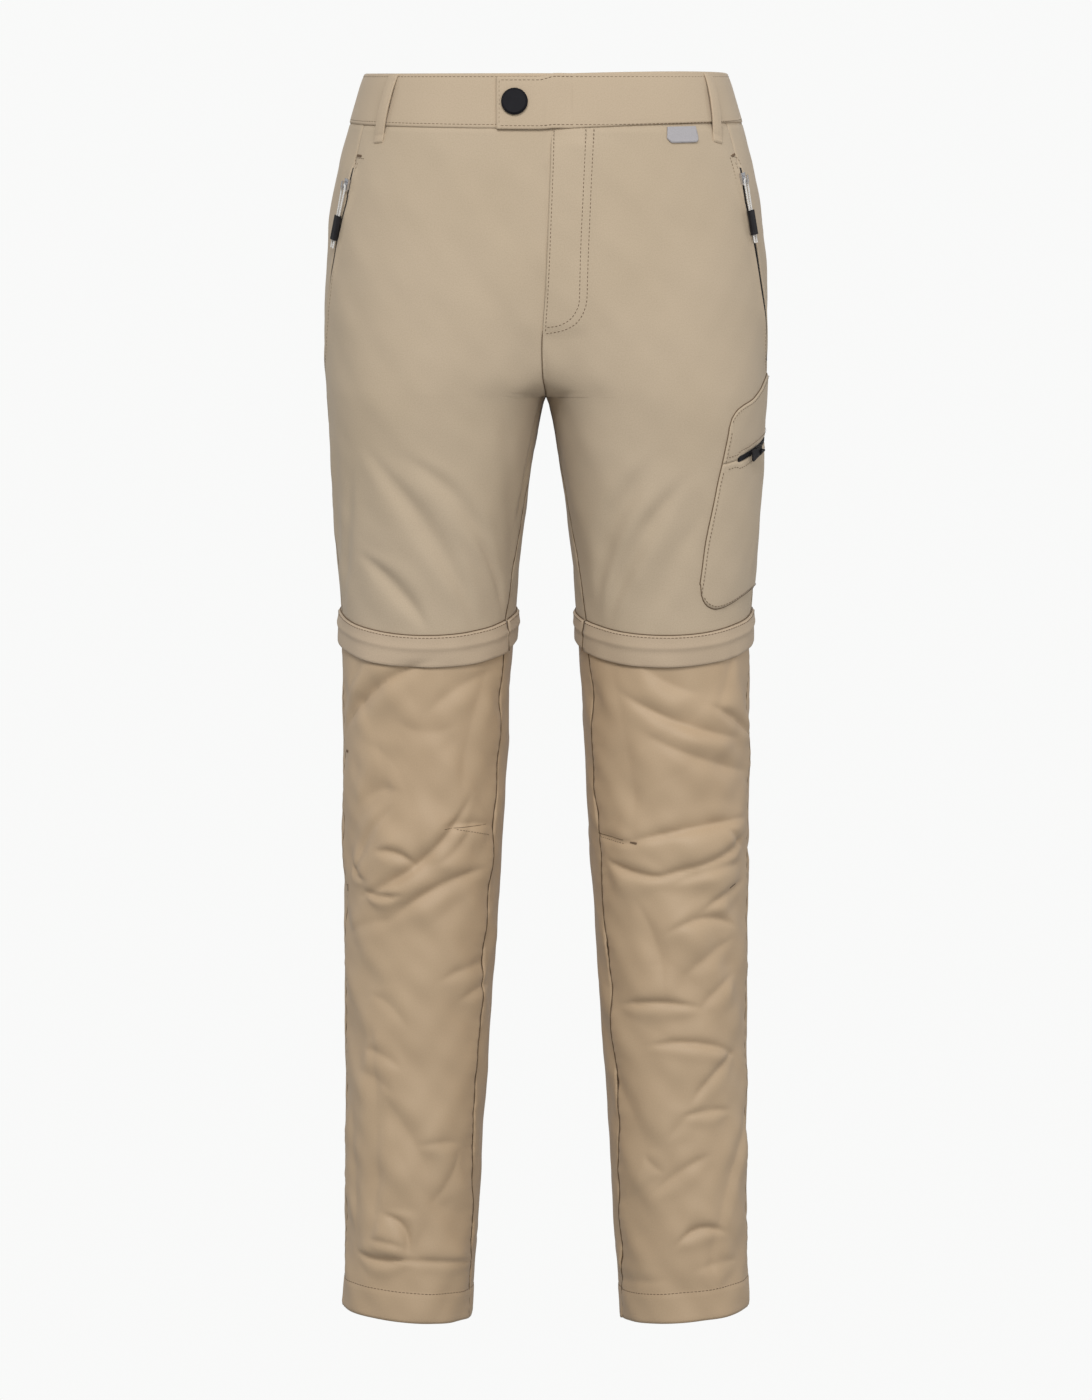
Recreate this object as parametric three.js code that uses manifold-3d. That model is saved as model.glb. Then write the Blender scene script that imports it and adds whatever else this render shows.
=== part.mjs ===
import * as THREE from "three";
import Module from "manifold-3d";

// Millimetres. Z is up and the front faces -Y. Sections are drawn for the wearer's left half, at x > 0,
// and side is -1 for the mirrored wearer's right half.
const WAIST_TOP = 20;
const WAIST_TOP_TILT = 0.058;
const WAIST_SEAM = -22;
const WAIST_SEAM_TILT = 0.09;
const CROTCH_Z = -257.5;
const MIDDLE = 0.17;
const SEAM_GAP = 0.34;
const PANEL_WALL = 1.5;
const BAND_WALL = 2.4;
const TRIM_WALL = 1.2;
const REST_GAP = 0.35;
const WAIST_GAP = 0.62;
const CURVED_GAP = 1;

// The zip-off seam round each knee: height at the side, dip at the front, rise at the back,
// depth of the covering flap, and how far each panel runs up under it.
const KNEE_Z = -455;
const KNEE_SIDE = -440;
const KNEE_DIP = 19;
const KNEE_RISE = 4;
const FLAP_DEPTH = 27;
const FLAP_WALL = 2.3;
const FLAP_OUT = 3.3;
const THIGH_TUCK = 8;
const SHIN_TUCK = 19;
const HEM_Z = -1050;
const HEM_SLOPE = 0.085;
const HEM_OUTER_X = 178;

const FLY_TOP_EDGE = 3.4;
const FLY_END_Z = -205;
const FLY_RAISE = 1.7;
const FLY_RAISE_WIDTH = 42;
const TAB_LENGTH = 41;
const TAB_RAISE = 3.2;
const TAB_CORNER = 1.5;
const TAB_BEND = 20;
const TAB_DIP = { top: 3.2, bottom: 1, from: 8, to: -6 };
const TAB_LAST_COLUMN = 21;
const FLY_SHIELD = { half: 20, top: -37, bottom: -172 };

const CLOTH = 0xb3a088;
const CLOTH_LOWER = 0xad9a7e;
const CLOTH_BAND = 0xb2a086;

// Sections of one half, from the waist down.
const SECTION_COLUMNS = [
  "z", "inner", "outer", "crest", "front", "back", "innerY", "outerY", "crease", "power",
];
const SECTION_ROWS = [
  [40, -150, 150.5, 0.2, -116, 121, 2, 2, 60, 2.25],
  [5, -160, 160.3, 0.2, -118, 125, 2, 2, 62, 2.25],
  [-30, -170, 170.5, 0.2, -119.5, 130, 2, 2, 65, 2.25],
  [-62, -178, 178.8, 2, -121, 135, 3, 2, 68, 2.22],
  [-100, -170, 185.8, 8, -122, 141, 4, 2, 72, 2.2],
  [-140, -146, 189.2, 22, -122, 145, 5, 2, 76, 2.18],
  [-190, -101, 191, 45, -120, 144, 6, 2, 82, 2.15],
  [-230, -51, 190.6, 70, -116, 134, 7, 2, 88, 2.1],
  [CROTCH_Z, MIDDLE, 189.3, 94.7, -112, 123, 8, 2, 94.7, 2.1],
  [-300, 9.3, 186.4, 97.8, -105, 108, 6, 1, 97.8, 2.1],
  [-350, 16.6, 183.3, 100, -98, 95, 4, 0, 100, 2.1],
  [-400, 22.5, 180.4, 101.5, -91, 84, 1, 0, 101.5, 2.1],
  [-450, 27, 177.2, 102, -85, 75, -2, 0, 102, 2.12],
  [-500, 30.5, 176.3, 103.4, -81, 71, -3, 0, 103.4, 2.15],
  [-600, 35.2, 176.3, 105.8, -77, 72, -2, 0, 105.8, 2.15],
  [-700, 41.5, 175.6, 108.5, -73, 74, 0, 0, 108.5, 2.1],
  [-800, 48.3, 175.2, 111.7, -69, 73, 1, 0, 111.7, 2.05],
  [-900, 55, 175.2, 115, -66, 70, 2, 0, 115, 2],
  [-1000, 60.8, 176, 118.4, -63, 67, 2, 0, 118.4, 2],
  [-1070, 65.4, 178.7, 122, -62, 66, 2, 0, 122, 2],
];

// How far forward of the inner and outer extremes of the leg its two seams run.
const SEAM_COLUMNS = ["z", "inseam", "sideSeam"];
const SEAM_ROWS = [
  [40, 0, 0],
  [CROTCH_Z, 0, 0],
  [-300, 16, 4],
  [-350, 32, 8],
  [-450, 40, 16],
  [-560, 36, 18],
  [-700, 40, 16],
  [-850, 40, 14],
  [-950, 32, 12],
  [-1070, 20, 10],
];

// The front pocket seam: distance forward of the side seam.
const POCKET_COLUMNS = ["z", "ahead"];
const POCKET_ROWS = [
  [0, 60],
  [-50, 60],
  [-90, 60],
  [-113, 54],
  [-135, 48],
  [-160, 42],
  [-190, 34],
  [-222, 22],
  [-246, 3],
];
const POCKET_END = -246;

function clamp(v, low, high) {
  return Math.min(high, Math.max(low, v));
}

function mix(a, b, q) {
  return a + (b - a) * q;
}

function smooth(from, to, v) {
  const q = clamp((v - from) / (to - from), 0, 1);
  return q * q * (3 - 2 * q);
}

function steps(count, from = 0, to = 1) {
  return Array.from({ length: count + 1 }, (_, i) => mix(from, to, i / count));
}

// A smooth curve through a table's column that never overshoots its values.
function curveThrough(knots, values) {
  const slopes = knots.map((_, i) => {
    if (i === 0 || i === knots.length - 1) return 0;
    const before = (values[i] - values[i - 1]) / (knots[i] - knots[i - 1]);
    const after = (values[i + 1] - values[i]) / (knots[i + 1] - knots[i]);
    return before * after > 0 ? (2 * before * after) / (before + after) : 0;
  });
  return (at) => {
    const v = clamp(at, knots[0], knots[knots.length - 1]);
    let i = 0;
    while (i < knots.length - 2 && v > knots[i + 1]) i += 1;
    const span = knots[i + 1] - knots[i];
    const q = (v - knots[i]) / span;
    const bend = q * q * (3 - 2 * q);
    const lead = q * (1 - q) * (1 - q) * span * slopes[i];
    const tail = q * q * (1 - q) * span * slopes[i + 1];
    return mix(values[i], values[i + 1], bend) + lead - tail;
  };
}

function tableCurves(columns, rows) {
  const sorted = [...rows].sort((a, b) => a[0] - b[0]);
  const knots = sorted.map((row) => row[0]);
  const curves = {};
  columns.slice(1).forEach((name, i) => {
    curves[name] = curveThrough(knots, sorted.map((row) => row[i + 1]));
  });
  return curves;
}

const SECTION = tableCurves(SECTION_COLUMNS, SECTION_ROWS);
const SEAM = tableCurves(SEAM_COLUMNS, SEAM_ROWS);
const POCKET = tableCurves(POCKET_COLUMNS, POCKET_ROWS);

// One level section as a fine line from the inner edge round the front, side and back.
const LINE_STEPS = 144;
const LEVELS_PER_MM = 50;

function drawLevel(z) {
  const inner = SECTION.inner(z);
  const outer = SECTION.outer(z);
  const crest = SECTION.crest(z);
  const exponent = 2 / SECTION.power(z);
  const closed = inner >= MIDDLE;
  const cut = closed ? 1 : (crest - MIDDLE) / (crest - inner);
  const start = closed ? 0 : Math.acos(cut ** (1 / exponent));
  const points = [];
  const arcs = [0];
  for (let i = 0; i <= LINE_STEPS; i += 1) {
    const turn = mix(start, 2 * Math.PI - start, i / LINE_STEPS);
    const across = Math.abs(Math.cos(turn)) ** exponent;
    const along = Math.abs(Math.sin(turn)) ** exponent;
    const inside = Math.cos(turn) > 0;
    const x = inside ? crest - (crest - inner) * across : crest + (outer - crest) * across;
    const rest = inside ? SECTION.innerY(z) : SECTION.outerY(z);
    const reach = Math.sin(turn) > 0 ? SECTION.front(z) : SECTION.back(z);
    points.push([x, mix(rest, reach, along)]);
    if (i > 0) {
      const last = points[i - 1];
      arcs.push(arcs[i - 1] + Math.hypot(x - last[0], points[i][1] - last[1]));
    }
  }
  return { points, arcs, closed, total: arcs[LINE_STEPS] };
}

function arcWhere(level, x, from, to) {
  const step = Math.sign(to - from);
  let i = from;
  while (i !== to && level.points[i + step][0] < x) i += step;
  const a = level.points[i];
  const b = level.points[i + step];
  const q = clamp((x - a[0]) / (b[0] - a[0] || 1), 0, 1);
  return mix(level.arcs[i], level.arcs[i + step], q);
}

// Marks are positions ahead of the side extreme: front edge, front crease, side seam, back crease, back edge.
const levels = new Map();

function levelAt(z) {
  const key = Math.round(z * LEVELS_PER_MM);
  if (!levels.has(key)) {
    const height = key / LEVELS_PER_MM;
    const level = drawLevel(height);
    const side = level.arcs[LINE_STEPS / 2];
    const shift = level.closed ? SEAM.inseam(height) : 0;
    const crease = SECTION.crease(height);
    level.side = side;
    level.marks = [
      side - shift,
      side - arcWhere(level, crease, 0, LINE_STEPS / 2),
      SEAM.sideSeam(height),
      side - arcWhere(level, crease, LINE_STEPS, LINE_STEPS / 2),
      side - level.total - shift,
    ];
    levels.set(key, level);
  }
  return levels.get(key);
}

const MARK_TURNS = [0, 0.4, 1, 1.6, 2];

// Position ahead of the side extreme; the turn is 0 at the front edge, 1 at the side seam, 2 at the back edge.
function ahead(turn, z) {
  const marks = levelAt(z).marks;
  let i = 0;
  while (i < 3 && turn > MARK_TURNS[i + 1]) i += 1;
  const q = (turn - MARK_TURNS[i]) / (MARK_TURNS[i + 1] - MARK_TURNS[i]);
  return mix(marks[i], marks[i + 1], q);
}

function linePoint(a, z) {
  const level = levelAt(z);
  let s = level.side - a;
  if (level.closed) s = ((s % level.total) + level.total) % level.total;
  s = clamp(s, 0, level.total);
  let low = 0;
  let high = LINE_STEPS;
  while (high - low > 1) {
    const half = (low + high) >> 1;
    if (level.arcs[half] <= s) low = half;
    else high = half;
  }
  const q = (s - level.arcs[low]) / (level.arcs[high] - level.arcs[low] || 1);
  const from = level.points[low];
  const to = level.points[high];
  return [mix(from[0], to[0], q), mix(from[1], to[1], q)];
}

// A place on the bare form with its outward normal.
const REACH = 2.5;

function spot(a, z) {
  const [x, y] = linePoint(a, z);
  const [x0, y0] = linePoint(a + REACH, z);
  const [x1, y1] = linePoint(a - REACH, z);
  const [x2, y2] = linePoint(a, z - REACH);
  const [x3, y3] = linePoint(a, z + REACH);
  const along = new THREE.Vector3(x1 - x0, y1 - y0, 0);
  const up = new THREE.Vector3(x3 - x2, y3 - y2, 2 * REACH);
  const normal = along.cross(up).normalize();
  return { x, y, normal };
}

// Folds: ends of the line along the crest, half width, height at the crest (a hollow when negative)
// and which half and face they are on. x is mirrored for the wearer's right.
const FOLD_COLUMNS = ["side", "face", "x0", "z0", "x1", "z1", "width", "height"];
const FOLD_ROWS = [
  [-1, -1, 150, -345, 66, -440, 17, 2.6],
  [-1, -1, 128, -330, 48, -425, 15, -2.4],
  [-1, -1, 100, -330, 44, -400, 15, 2.2],
  [-1, -1, 120, -492, 178, -545, 12, 4.4],
  [-1, -1, 98, -500, 168, -572, 12, -3.6],
  [-1, -1, 70, -622, 158, -672, 11, 5.2],
  [-1, -1, 74, -648, 146, -690, 9, -4.4],
  [-1, -1, 96, -664, 150, -679, 9, 4.2],
  [-1, -1, 150, -608, 178, -640, 9, 3.4],
  [-1, -1, 62, -660, 118, -694, 10, 3],
  [-1, -1, 120, -760, 172, -838, 15, 2.8],
  [-1, -1, 110, -960, 172, -972, 9, 3.6],
  [-1, -1, 118, -984, 170, -996, 9, -3.2],
  [-1, -1, 84, -860, 140, -925, 14, -2.6],
  [1, -1, 150, -330, 70, -430, 17, 2.4],
  [1, -1, 116, -300, 50, -400, 16, -2.2],
  [1, -1, 74, -490, 158, -552, 12, 4.2],
  [1, -1, 66, -520, 150, -588, 12, -3.4],
  [1, -1, 90, -556, 168, -580, 11, 2.8],
  [1, -1, 56, -650, 104, -668, 9, 4.4],
  [1, -1, 100, -668, 168, -636, 10, 4.8],
  [1, -1, 104, -688, 170, -664, 9, -4.2],
  [1, -1, 142, -618, 176, -642, 9, 3.6],
  [1, -1, 118, -722, 170, -694, 11, 3],
  [1, -1, 64, -770, 128, -790, 12, -2.8],
  [1, -1, 84, -806, 150, -838, 12, 2.8],
  [1, -1, 90, -930, 150, -908, 11, 3.2],
  [1, -1, 96, -990, 160, -970, 10, 3.2],
  [-1, 1, 60, -300, 150, -372, 20, -3],
  [1, 1, 56, -310, 148, -366, 20, -3],
  [-1, 1, 70, -560, 168, -590, 13, 4],
  [-1, 1, 66, -600, 160, -628, 12, -3.6],
  [1, 1, 72, -566, 166, -584, 13, 4],
  [1, 1, 70, -612, 164, -640, 12, -3.8],
  [-1, 1, 80, -840, 160, -870, 14, 3],
  [1, 1, 84, -900, 160, -880, 14, 3],
];

function foldHeight(side, x, z, facing) {
  let height = 0;
  for (const [on, face, x0, z0, x1, z1, width, top] of FOLD_ROWS) {
    if (on !== side || Math.abs(z - (z0 + z1) / 2) > 150) continue;
    const length = Math.hypot(x1 - x0, z1 - z0);
    const along = ((x - x0) * (x1 - x0) + (z - z0) * (z1 - z0)) / (length * length);
    const off = ((x - x0) * (z1 - z0) - (z - z0) * (x1 - x0)) / (length * width);
    const ends = smooth(-0.3, 0.25, along) * (1 - smooth(0.75, 1.3, along));
    height += top * ends * Math.exp(-off * off) * smooth(0, 0.5, face * facing);
  }
  return height;
}

const BACK_GATHER = { from: -30, to: -118, pitch: 7, height: 0.8 };

// A point out from the finished form, folds included.
function surface(side, a, z, out) {
  const { x, y, normal } = spot(a, z);
  const rise = out + foldHeight(side, x, z, normal.y);
  const px = Math.max(x + normal.x * rise, MIDDLE);
  return new THREE.Vector3(side * px, y + normal.y * rise, z + normal.z * rise);
}

function triangleVolume(positions, triangles) {
  let volume = 0;
  const a = new THREE.Vector3();
  const b = new THREE.Vector3();
  const c = new THREE.Vector3();
  for (let i = 0; i < triangles.length; i += 3) {
    a.fromArray(positions, triangles[i] * 3);
    b.fromArray(positions, triangles[i + 1] * 3);
    c.fromArray(positions, triangles[i + 2] * 3);
    volume += a.dot(b.cross(c)) / 6;
  }
  return volume;
}

function solidFrom(positions, triangles) {
  const facing = triangleVolume(positions, triangles) > 0;
  const faces = facing ? triangles : triangles.slice().reverse();
  const geometry = new THREE.BufferGeometry();
  geometry.setAttribute("position", new THREE.Float32BufferAttribute(positions, 3));
  geometry.setIndex(faces);
  return geometry;
}

// A closed wall of cloth between two sheets of points in rows of the same width.
function wallBetween(outer, inner, width, ring) {
  const rows = outer.length / width;
  const positions = [...outer, ...inner].flatMap((p) => p.toArray());
  const triangles = [];
  const quad = (a, b, c, d) => triangles.push(a, b, c, a, c, d);
  const spans = ring ? width : width - 1;
  for (let j = 0; j < rows - 1; j += 1) {
    for (let i = 0; i < spans; i += 1) {
      const next = (i + 1) % width;
      const corners = [j * width + i, j * width + next, (j + 1) * width + next, (j + 1) * width + i];
      quad(...corners);
      quad(...corners.map((k) => k + outer.length).reverse());
    }
  }
  const edge = (a, b) => quad(b, a, a + outer.length, b + outer.length);
  for (let i = 0; i < spans; i += 1) {
    const next = (i + 1) % width;
    edge(i, next);
    edge((rows - 1) * width + next, (rows - 1) * width + i);
  }
  for (let j = 0; j < rows - 1 && !ring; j += 1) {
    edge((j + 1) * width, j * width);
    edge(j * width + width - 1, (j + 1) * width + width - 1);
  }
  return solidFrom(positions, triangles);
}

// place(u, v) gives side, a, z and lift; the wall's outer face is lift above the form.
function cloth(us, vs, wall, place, ring = false) {
  const outer = [];
  const inner = [];
  for (const v of vs) {
    for (const u of us) {
      const { side, a, z, lift = 0 } = place(u, v);
      outer.push(surface(side, a, z, lift));
      inner.push(surface(side, a, z, lift - wall));
    }
  }
  return wallBetween(outer, inner, us.length, ring);
}

function bandTop(a) {
  return WAIST_TOP + WAIST_TOP_TILT * spot(a, WAIST_TOP).y;
}

function bandSeam(a) {
  return WAIST_SEAM + WAIST_SEAM_TILT * spot(a, WAIST_SEAM).y;
}

function flapTop(a) {
  const { y } = spot(a, KNEE_Z);
  const front = clamp(-y / 85, 0, 1) ** 1.2;
  return KNEE_SIDE - KNEE_DIP * front + KNEE_RISE * clamp(y / 75, 0, 1);
}

function hemZ(a) {
  return HEM_Z - HEM_SLOPE * (HEM_OUTER_X - spot(a, HEM_Z).x);
}

function flyEdge(z) {
  return FLY_TOP_EDGE * smooth(FLY_END_Z, WAIST_SEAM, z);
}

function flyRaise(side, a, z) {
  if (side < 0 || z < FLY_END_Z) return 0;
  const inward = levelAt(z).marks[0] - a;
  const ends = smooth(FLY_END_Z, FLY_END_Z + 30, z);
  return FLY_RAISE * ends * (1 - smooth(FLY_RAISE_WIDTH * 0.6, FLY_RAISE_WIDTH, inward));
}

// Height on a thigh panel: v runs 0 to 1 down the rise and 1 to 2 down to the zip-off seam.
function thighZ(topAhead, v, bottomAhead) {
  const top = bandSeam(topAhead) - WAIST_GAP;
  if (v <= 1) return mix(top, CROTCH_Z, v);
  return mix(CROTCH_Z, flapTop(bottomAhead) - THIGH_TUCK, v - 1);
}

const THIGH_ROWS = [
  0, 0.1, 0.21, 0.32, 0.43, 0.54, 0.65, 0.75, 0.84, 0.91, 0.96, 1, 1.07, 1.18, 1.32, 1.48, 1.65, 1.82, 2,
];
const FRONT_TURNS = [0, 0.06, 0.13, 0.21, 0.3, 0.4, 0.51, 0.62, 0.73, 0.82, 0.9, 0.96, 1];
const BACK_TURNS = [1, 1.06, 1.15, 1.26, 1.37, 1.48, 1.59, 1.7, 1.79, 1.87, 1.94, 2];

function frontEdgeAhead(z) {
  return z > POCKET_END ? Math.max(POCKET.ahead(z), SEAM.sideSeam(z)) : SEAM.sideSeam(z);
}

function frontThigh(side) {
  return cloth(FRONT_TURNS, THIGH_ROWS, PANEL_WALL, (u, v) => {
    const topAhead = mix(ahead(0, WAIST_SEAM), POCKET.ahead(WAIST_SEAM), u);
    const z = thighZ(topAhead, v, ahead(u, KNEE_Z));
    const marks = levelAt(z).marks;
    const start = marks[0] - SEAM_GAP / 2 - (side > 0 ? flyEdge(z) : 0);
    const end = frontEdgeAhead(z) + SEAM_GAP / 2;
    const a = u < 0.4 ? mix(start, marks[1], u / 0.4) : mix(marks[1], end, (u - 0.4) / 0.6);
    return { side, a, z, lift: flyRaise(side, a, z) };
  });
}

function sidePocketPanel(side) {
  const rows = THIGH_ROWS.filter((v) => thighZ(POCKET.ahead(WAIST_SEAM), v, 0) > POCKET_END);
  return cloth(steps(3), rows, PANEL_WALL, (u, v) => {
    const z = thighZ(mix(POCKET.ahead(WAIST_SEAM), 0, u), v, 0);
    const a = mix(frontEdgeAhead(z) - SEAM_GAP / 2, SEAM.sideSeam(z) + SEAM_GAP / 2, u);
    return { side, a, z };
  });
}

function backThigh(side) {
  return cloth(BACK_TURNS, THIGH_ROWS, PANEL_WALL, (u, v) => {
    const z = thighZ(ahead(u, WAIST_SEAM), v, ahead(u, KNEE_Z));
    const inset = (1.5 - u) * SEAM_GAP;
    return { side, a: ahead(u, z) - inset, z };
  });
}

const SHIN_ROWS = [...steps(19, 0, 0.86), 0.9, 0.95, 1];

function shin(side, turns) {
  const middle = (turns[0] + turns[turns.length - 1]) / 2;
  return cloth(turns, SHIN_ROWS, PANEL_WALL, (u, v) => {
    const top = flapTop(ahead(u, KNEE_Z)) - SHIN_TUCK;
    const z = mix(top, hemZ(ahead(u, HEM_Z)), v);
    return { side, a: ahead(u, z) + (u - middle) * SEAM_GAP, z };
  });
}

const RING_TURNS = [...FRONT_TURNS.slice(0, -1), ...BACK_TURNS.slice(0, -1)];

function kneeRing(side, rows, wall) {
  return cloth(RING_TURNS, rows, wall, (u, row) => {
    const z = flapTop(ahead(u, KNEE_Z)) - row.down;
    return { side, a: ahead(u, z), z, lift: row.lift };
  }, true);
}

const FLAP_ROWS = [
  { down: 0, lift: FLAP_OUT - 0.3 },
  { down: 11, lift: FLAP_OUT + 0.3 },
  { down: 15, lift: FLAP_OUT },
  { down: FLAP_DEPTH, lift: FLAP_OUT + 0.1 },
];
const ZIP_RING_ROWS = [
  { down: THIGH_TUCK + SEAM_GAP, lift: -0.1 },
  { down: SHIN_TUCK - SEAM_GAP, lift: -0.1 },
];

// Waistband. q is the distance along the band from the centre front, towards the wearer's left.
function bandFromCentre(q, v) {
  const side = q < 0 ? -1 : 1;
  const onTab = 1 - smooth(TAB_CORNER, TAB_BEND, q);
  const a0 = ahead(0, 0) - Math.abs(q);
  const dip = smooth(TAB_DIP.from, TAB_DIP.to, q);
  const top = bandTop(a0) - TAB_DIP.top * dip;
  const bottom = bandSeam(a0) - TAB_DIP.bottom * dip;
  const z = mix(top, bottom, v);
  return { side, a: levelAt(z).marks[0] - Math.abs(q), z, lift: TAB_RAISE * onTab };
}

function waistbandFrontLeft() {
  const whole = ahead(0, 0);
  const tab = [-TAB_LENGTH, -TAB_LENGTH + 3, -30, -18, -8, TAB_CORNER, 6, 11, 16, TAB_LAST_COLUMN];
  const rest = steps(10, TAB_LAST_COLUMN + 11, whole);
  return cloth([...tab, ...rest], steps(3), BAND_WALL, (q, v) => {
    const place = bandFromCentre(q, v);
    const share = clamp((q - TAB_LAST_COLUMN) / (whole - TAB_LAST_COLUMN), 0, 1);
    const end = mix(place.a, SEAM.sideSeam(place.z) + SEAM_GAP / 2, smooth(0.9, 1, share));
    const start = levelAt(place.z).marks[0] - TAB_LAST_COLUMN;
    return { ...place, a: q > TAB_LAST_COLUMN ? mix(start, end, share) : place.a };
  });
}

function waistbandFrontRight() {
  return cloth(steps(12), steps(3), BAND_WALL, (u, v) => {
    const a0 = ahead(u, 0);
    const z = mix(bandTop(a0), bandSeam(a0), v);
    return { side: -1, a: ahead(u, z) + (u - 0.5) * SEAM_GAP, z };
  });
}

function waistbandBack() {
  const half = [...steps(5, 1, 1.13).slice(0, 5), ...steps(24, 1.13, 1.52), ...steps(6, 1.52, 2).slice(1)];
  const columns = [
    ...half.map((turn) => ({ side: -1, turn })),
    ...half.map((turn) => ({ side: 1, turn })).reverse().slice(1),
  ];
  return cloth(columns, steps(3), BAND_WALL, ({ side, turn }, v) => {
    const a0 = ahead(turn, 0);
    const z = mix(bandTop(a0), bandSeam(a0), v);
    const { from, to, pitch, height } = BACK_GATHER;
    const gathered = smooth(from, from - 12, a0) * smooth(to, to + 12, a0);
    const edges = Math.sin(Math.PI * clamp(v * 1.2 - 0.1, 0, 1));
    const lift = height * gathered * edges * Math.sin((2 * Math.PI * a0) / pitch);
    const end = turn < 1.001 ? SEAM_GAP / 2 : 0;
    return { side: turn === 2 ? 1 : side, a: ahead(turn, z) - end, z, lift };
  });
}

function flyShield() {
  const { half, top, bottom } = FLY_SHIELD;
  return cloth([-half, -0.4 * half, 0, 0.4 * half, half], steps(7), TRIM_WALL, (q, v) => {
    const z = mix(top, bottom, v);
    const side = q < 0 ? -1 : 1;
    return { side, a: levelAt(z).marks[0] - Math.abs(q), z, lift: -PANEL_WALL - CURVED_GAP };
  });
}

// A strip on the cloth: path(v) gives side, a, z and lift along its middle.
function strip(path, vs, halfWidth, wall, across = 3) {
  return cloth(steps(across, -1, 1), vs, wall, (u, v) => {
    const here = path(v);
    const before = path(v - 0.01);
    const after = path(v + 0.01);
    const da = after.a - before.a;
    const dz = after.z - before.z;
    const length = Math.hypot(da, dz);
    const width = typeof halfWidth === "function" ? halfWidth(v) : halfWidth;
    const a = here.a - (dz / length) * u * width;
    const z = here.z + (da / length) * u * width;
    return { ...here, a, z };
  });
}

const LOOP_HALF_WIDTH = 5.2;
const LOOP_SLACK = 2.4;
const LOOP_TOP_IN = 0.8;
const LOOP_FOOT_DROP = 14;
const LOOPS = [
  { name: "belt_loop_front_right", side: -1, topAhead: 85.4, footAhead: 87.5 },
  { name: "belt_loop_front_left", side: 1, topAhead: 71.5, footAhead: 82.7 },
  { name: "belt_loop_back_right", side: -1, topAhead: -124, footAhead: -130 },
  { name: "belt_loop_back_left", side: 1, topAhead: -124, footAhead: -130 },
];

function loopLift(v) {
  return REST_GAP + TRIM_WALL + LOOP_SLACK * Math.sin(Math.PI * clamp(v / 0.84, 0, 1)) ** 0.8;
}

function beltLoop({ side, topAhead, footAhead }) {
  const top = bandTop(topAhead) - LOOP_TOP_IN;
  const foot = bandSeam(footAhead) - LOOP_FOOT_DROP;
  const path = (v) => ({ side, a: mix(topAhead, footAhead, v), z: mix(top, foot, v), lift: loopLift(v) });
  return strip(path, steps(11), LOOP_HALF_WIDTH, TRIM_WALL, 2);
}

function centreBackLoop() {
  const edge = ahead(2, 0);
  const top = bandTop(edge) - LOOP_TOP_IN;
  const foot = bandSeam(edge) - LOOP_FOOT_DROP;
  return cloth([-LOOP_HALF_WIDTH, 0, LOOP_HALF_WIDTH], steps(11), TRIM_WALL, (q, v) => {
    const z = mix(top, foot, v);
    return { side: q < 0 ? -1 : 1, a: ahead(2, z) + Math.abs(q), z, lift: loopLift(v) };
  });
}

const POCKET_ZIP_TOP = -63;
const POCKET_ZIP_END = -226;
const POCKET_ZIP_HALF = 2.6;
const ZIP_WALL = 1;

function pocketZip(side) {
  const path = (v) => {
    const z = mix(POCKET_ZIP_TOP, POCKET_ZIP_END, v);
    return { side, a: POCKET.ahead(z), z, lift: REST_GAP + ZIP_WALL };
  };
  return strip(path, steps(14), POCKET_ZIP_HALF, ZIP_WALL, 2);
}

// The cargo pocket on the wearer's left thigh.
const CARGO_BACK = -72;
const CARGO_WALL = 1.3;
const CARGO_BULGE = 3.5;
const CARGO_ZIP_FRONT = 70;
const CARGO_SLOT = 2.9;
const CARGO_FRONT_EDGE = curveThrough([-440, -389, -354, -306, -281, -240], [103, 103, 101, 96.4, 95.5, 95]);
const CARGO_TOP = curveThrough(
  [-72, -60, -30, 0, 30, 61, 85, 93, 96],
  [-262, -252, -240, -237, -244, -258, -267, -275, -283],
);
const CARGO_LINE = curveThrough([-72, -10, 27, 51, 74, 103], [-286, -290, -297, -302.5, -309, -314]);
const CARGO_BOTTOM = curveThrough(
  [-72, -60, -14, 20, 49, 76, 84, 92, 99, 103],
  [-408, -418, -420, -422, -427, -436, -437, -434.5, -427, -415],
);

function cargoSlot(a) {
  return mix(CARGO_SLOT, SEAM_GAP / 2, smooth(CARGO_ZIP_FRONT + 10, CARGO_ZIP_FRONT + 20, a));
}

function cargoPiece(us, vs, upper, lower) {
  return cloth(us, vs, CARGO_WALL, (u, v) => {
    const guide = mix(100, CARGO_BACK, u);
    const guideZ = mix(upper(guide), lower(guide), v);
    const a = mix(CARGO_FRONT_EDGE(guideZ), CARGO_BACK, u);
    const z = mix(upper(a), lower(a), v);
    const puff = CARGO_BULGE * Math.sin(Math.PI * u) ** 0.7 * Math.sin(Math.PI * v) ** 0.7;
    return { side: 1, a, z, lift: CURVED_GAP + CARGO_WALL + (upper === CARGO_TOP ? 0 : puff) };
  });
}

const CARGO_TURNS = [0, 0.025, 0.06, 0.11, 0.18, 0.27, 0.37, 0.47, 0.57, 0.67, 0.77, 0.86, 0.94, 1];

function cargoZip() {
  const path = (v) => {
    const a = mix(CARGO_ZIP_FRONT, CARGO_BACK + 6, v);
    return { side: 1, a, z: CARGO_LINE(a), lift: CURVED_GAP + ZIP_WALL };
  };
  return strip(path, steps(9), CARGO_SLOT - 2 * SEAM_GAP, ZIP_WALL, 2);
}

const LABEL = { ahead: 117.3, top: -31, half: 12.6, drop: 12.4, wall: 0.9, corner: 3 };

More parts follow.
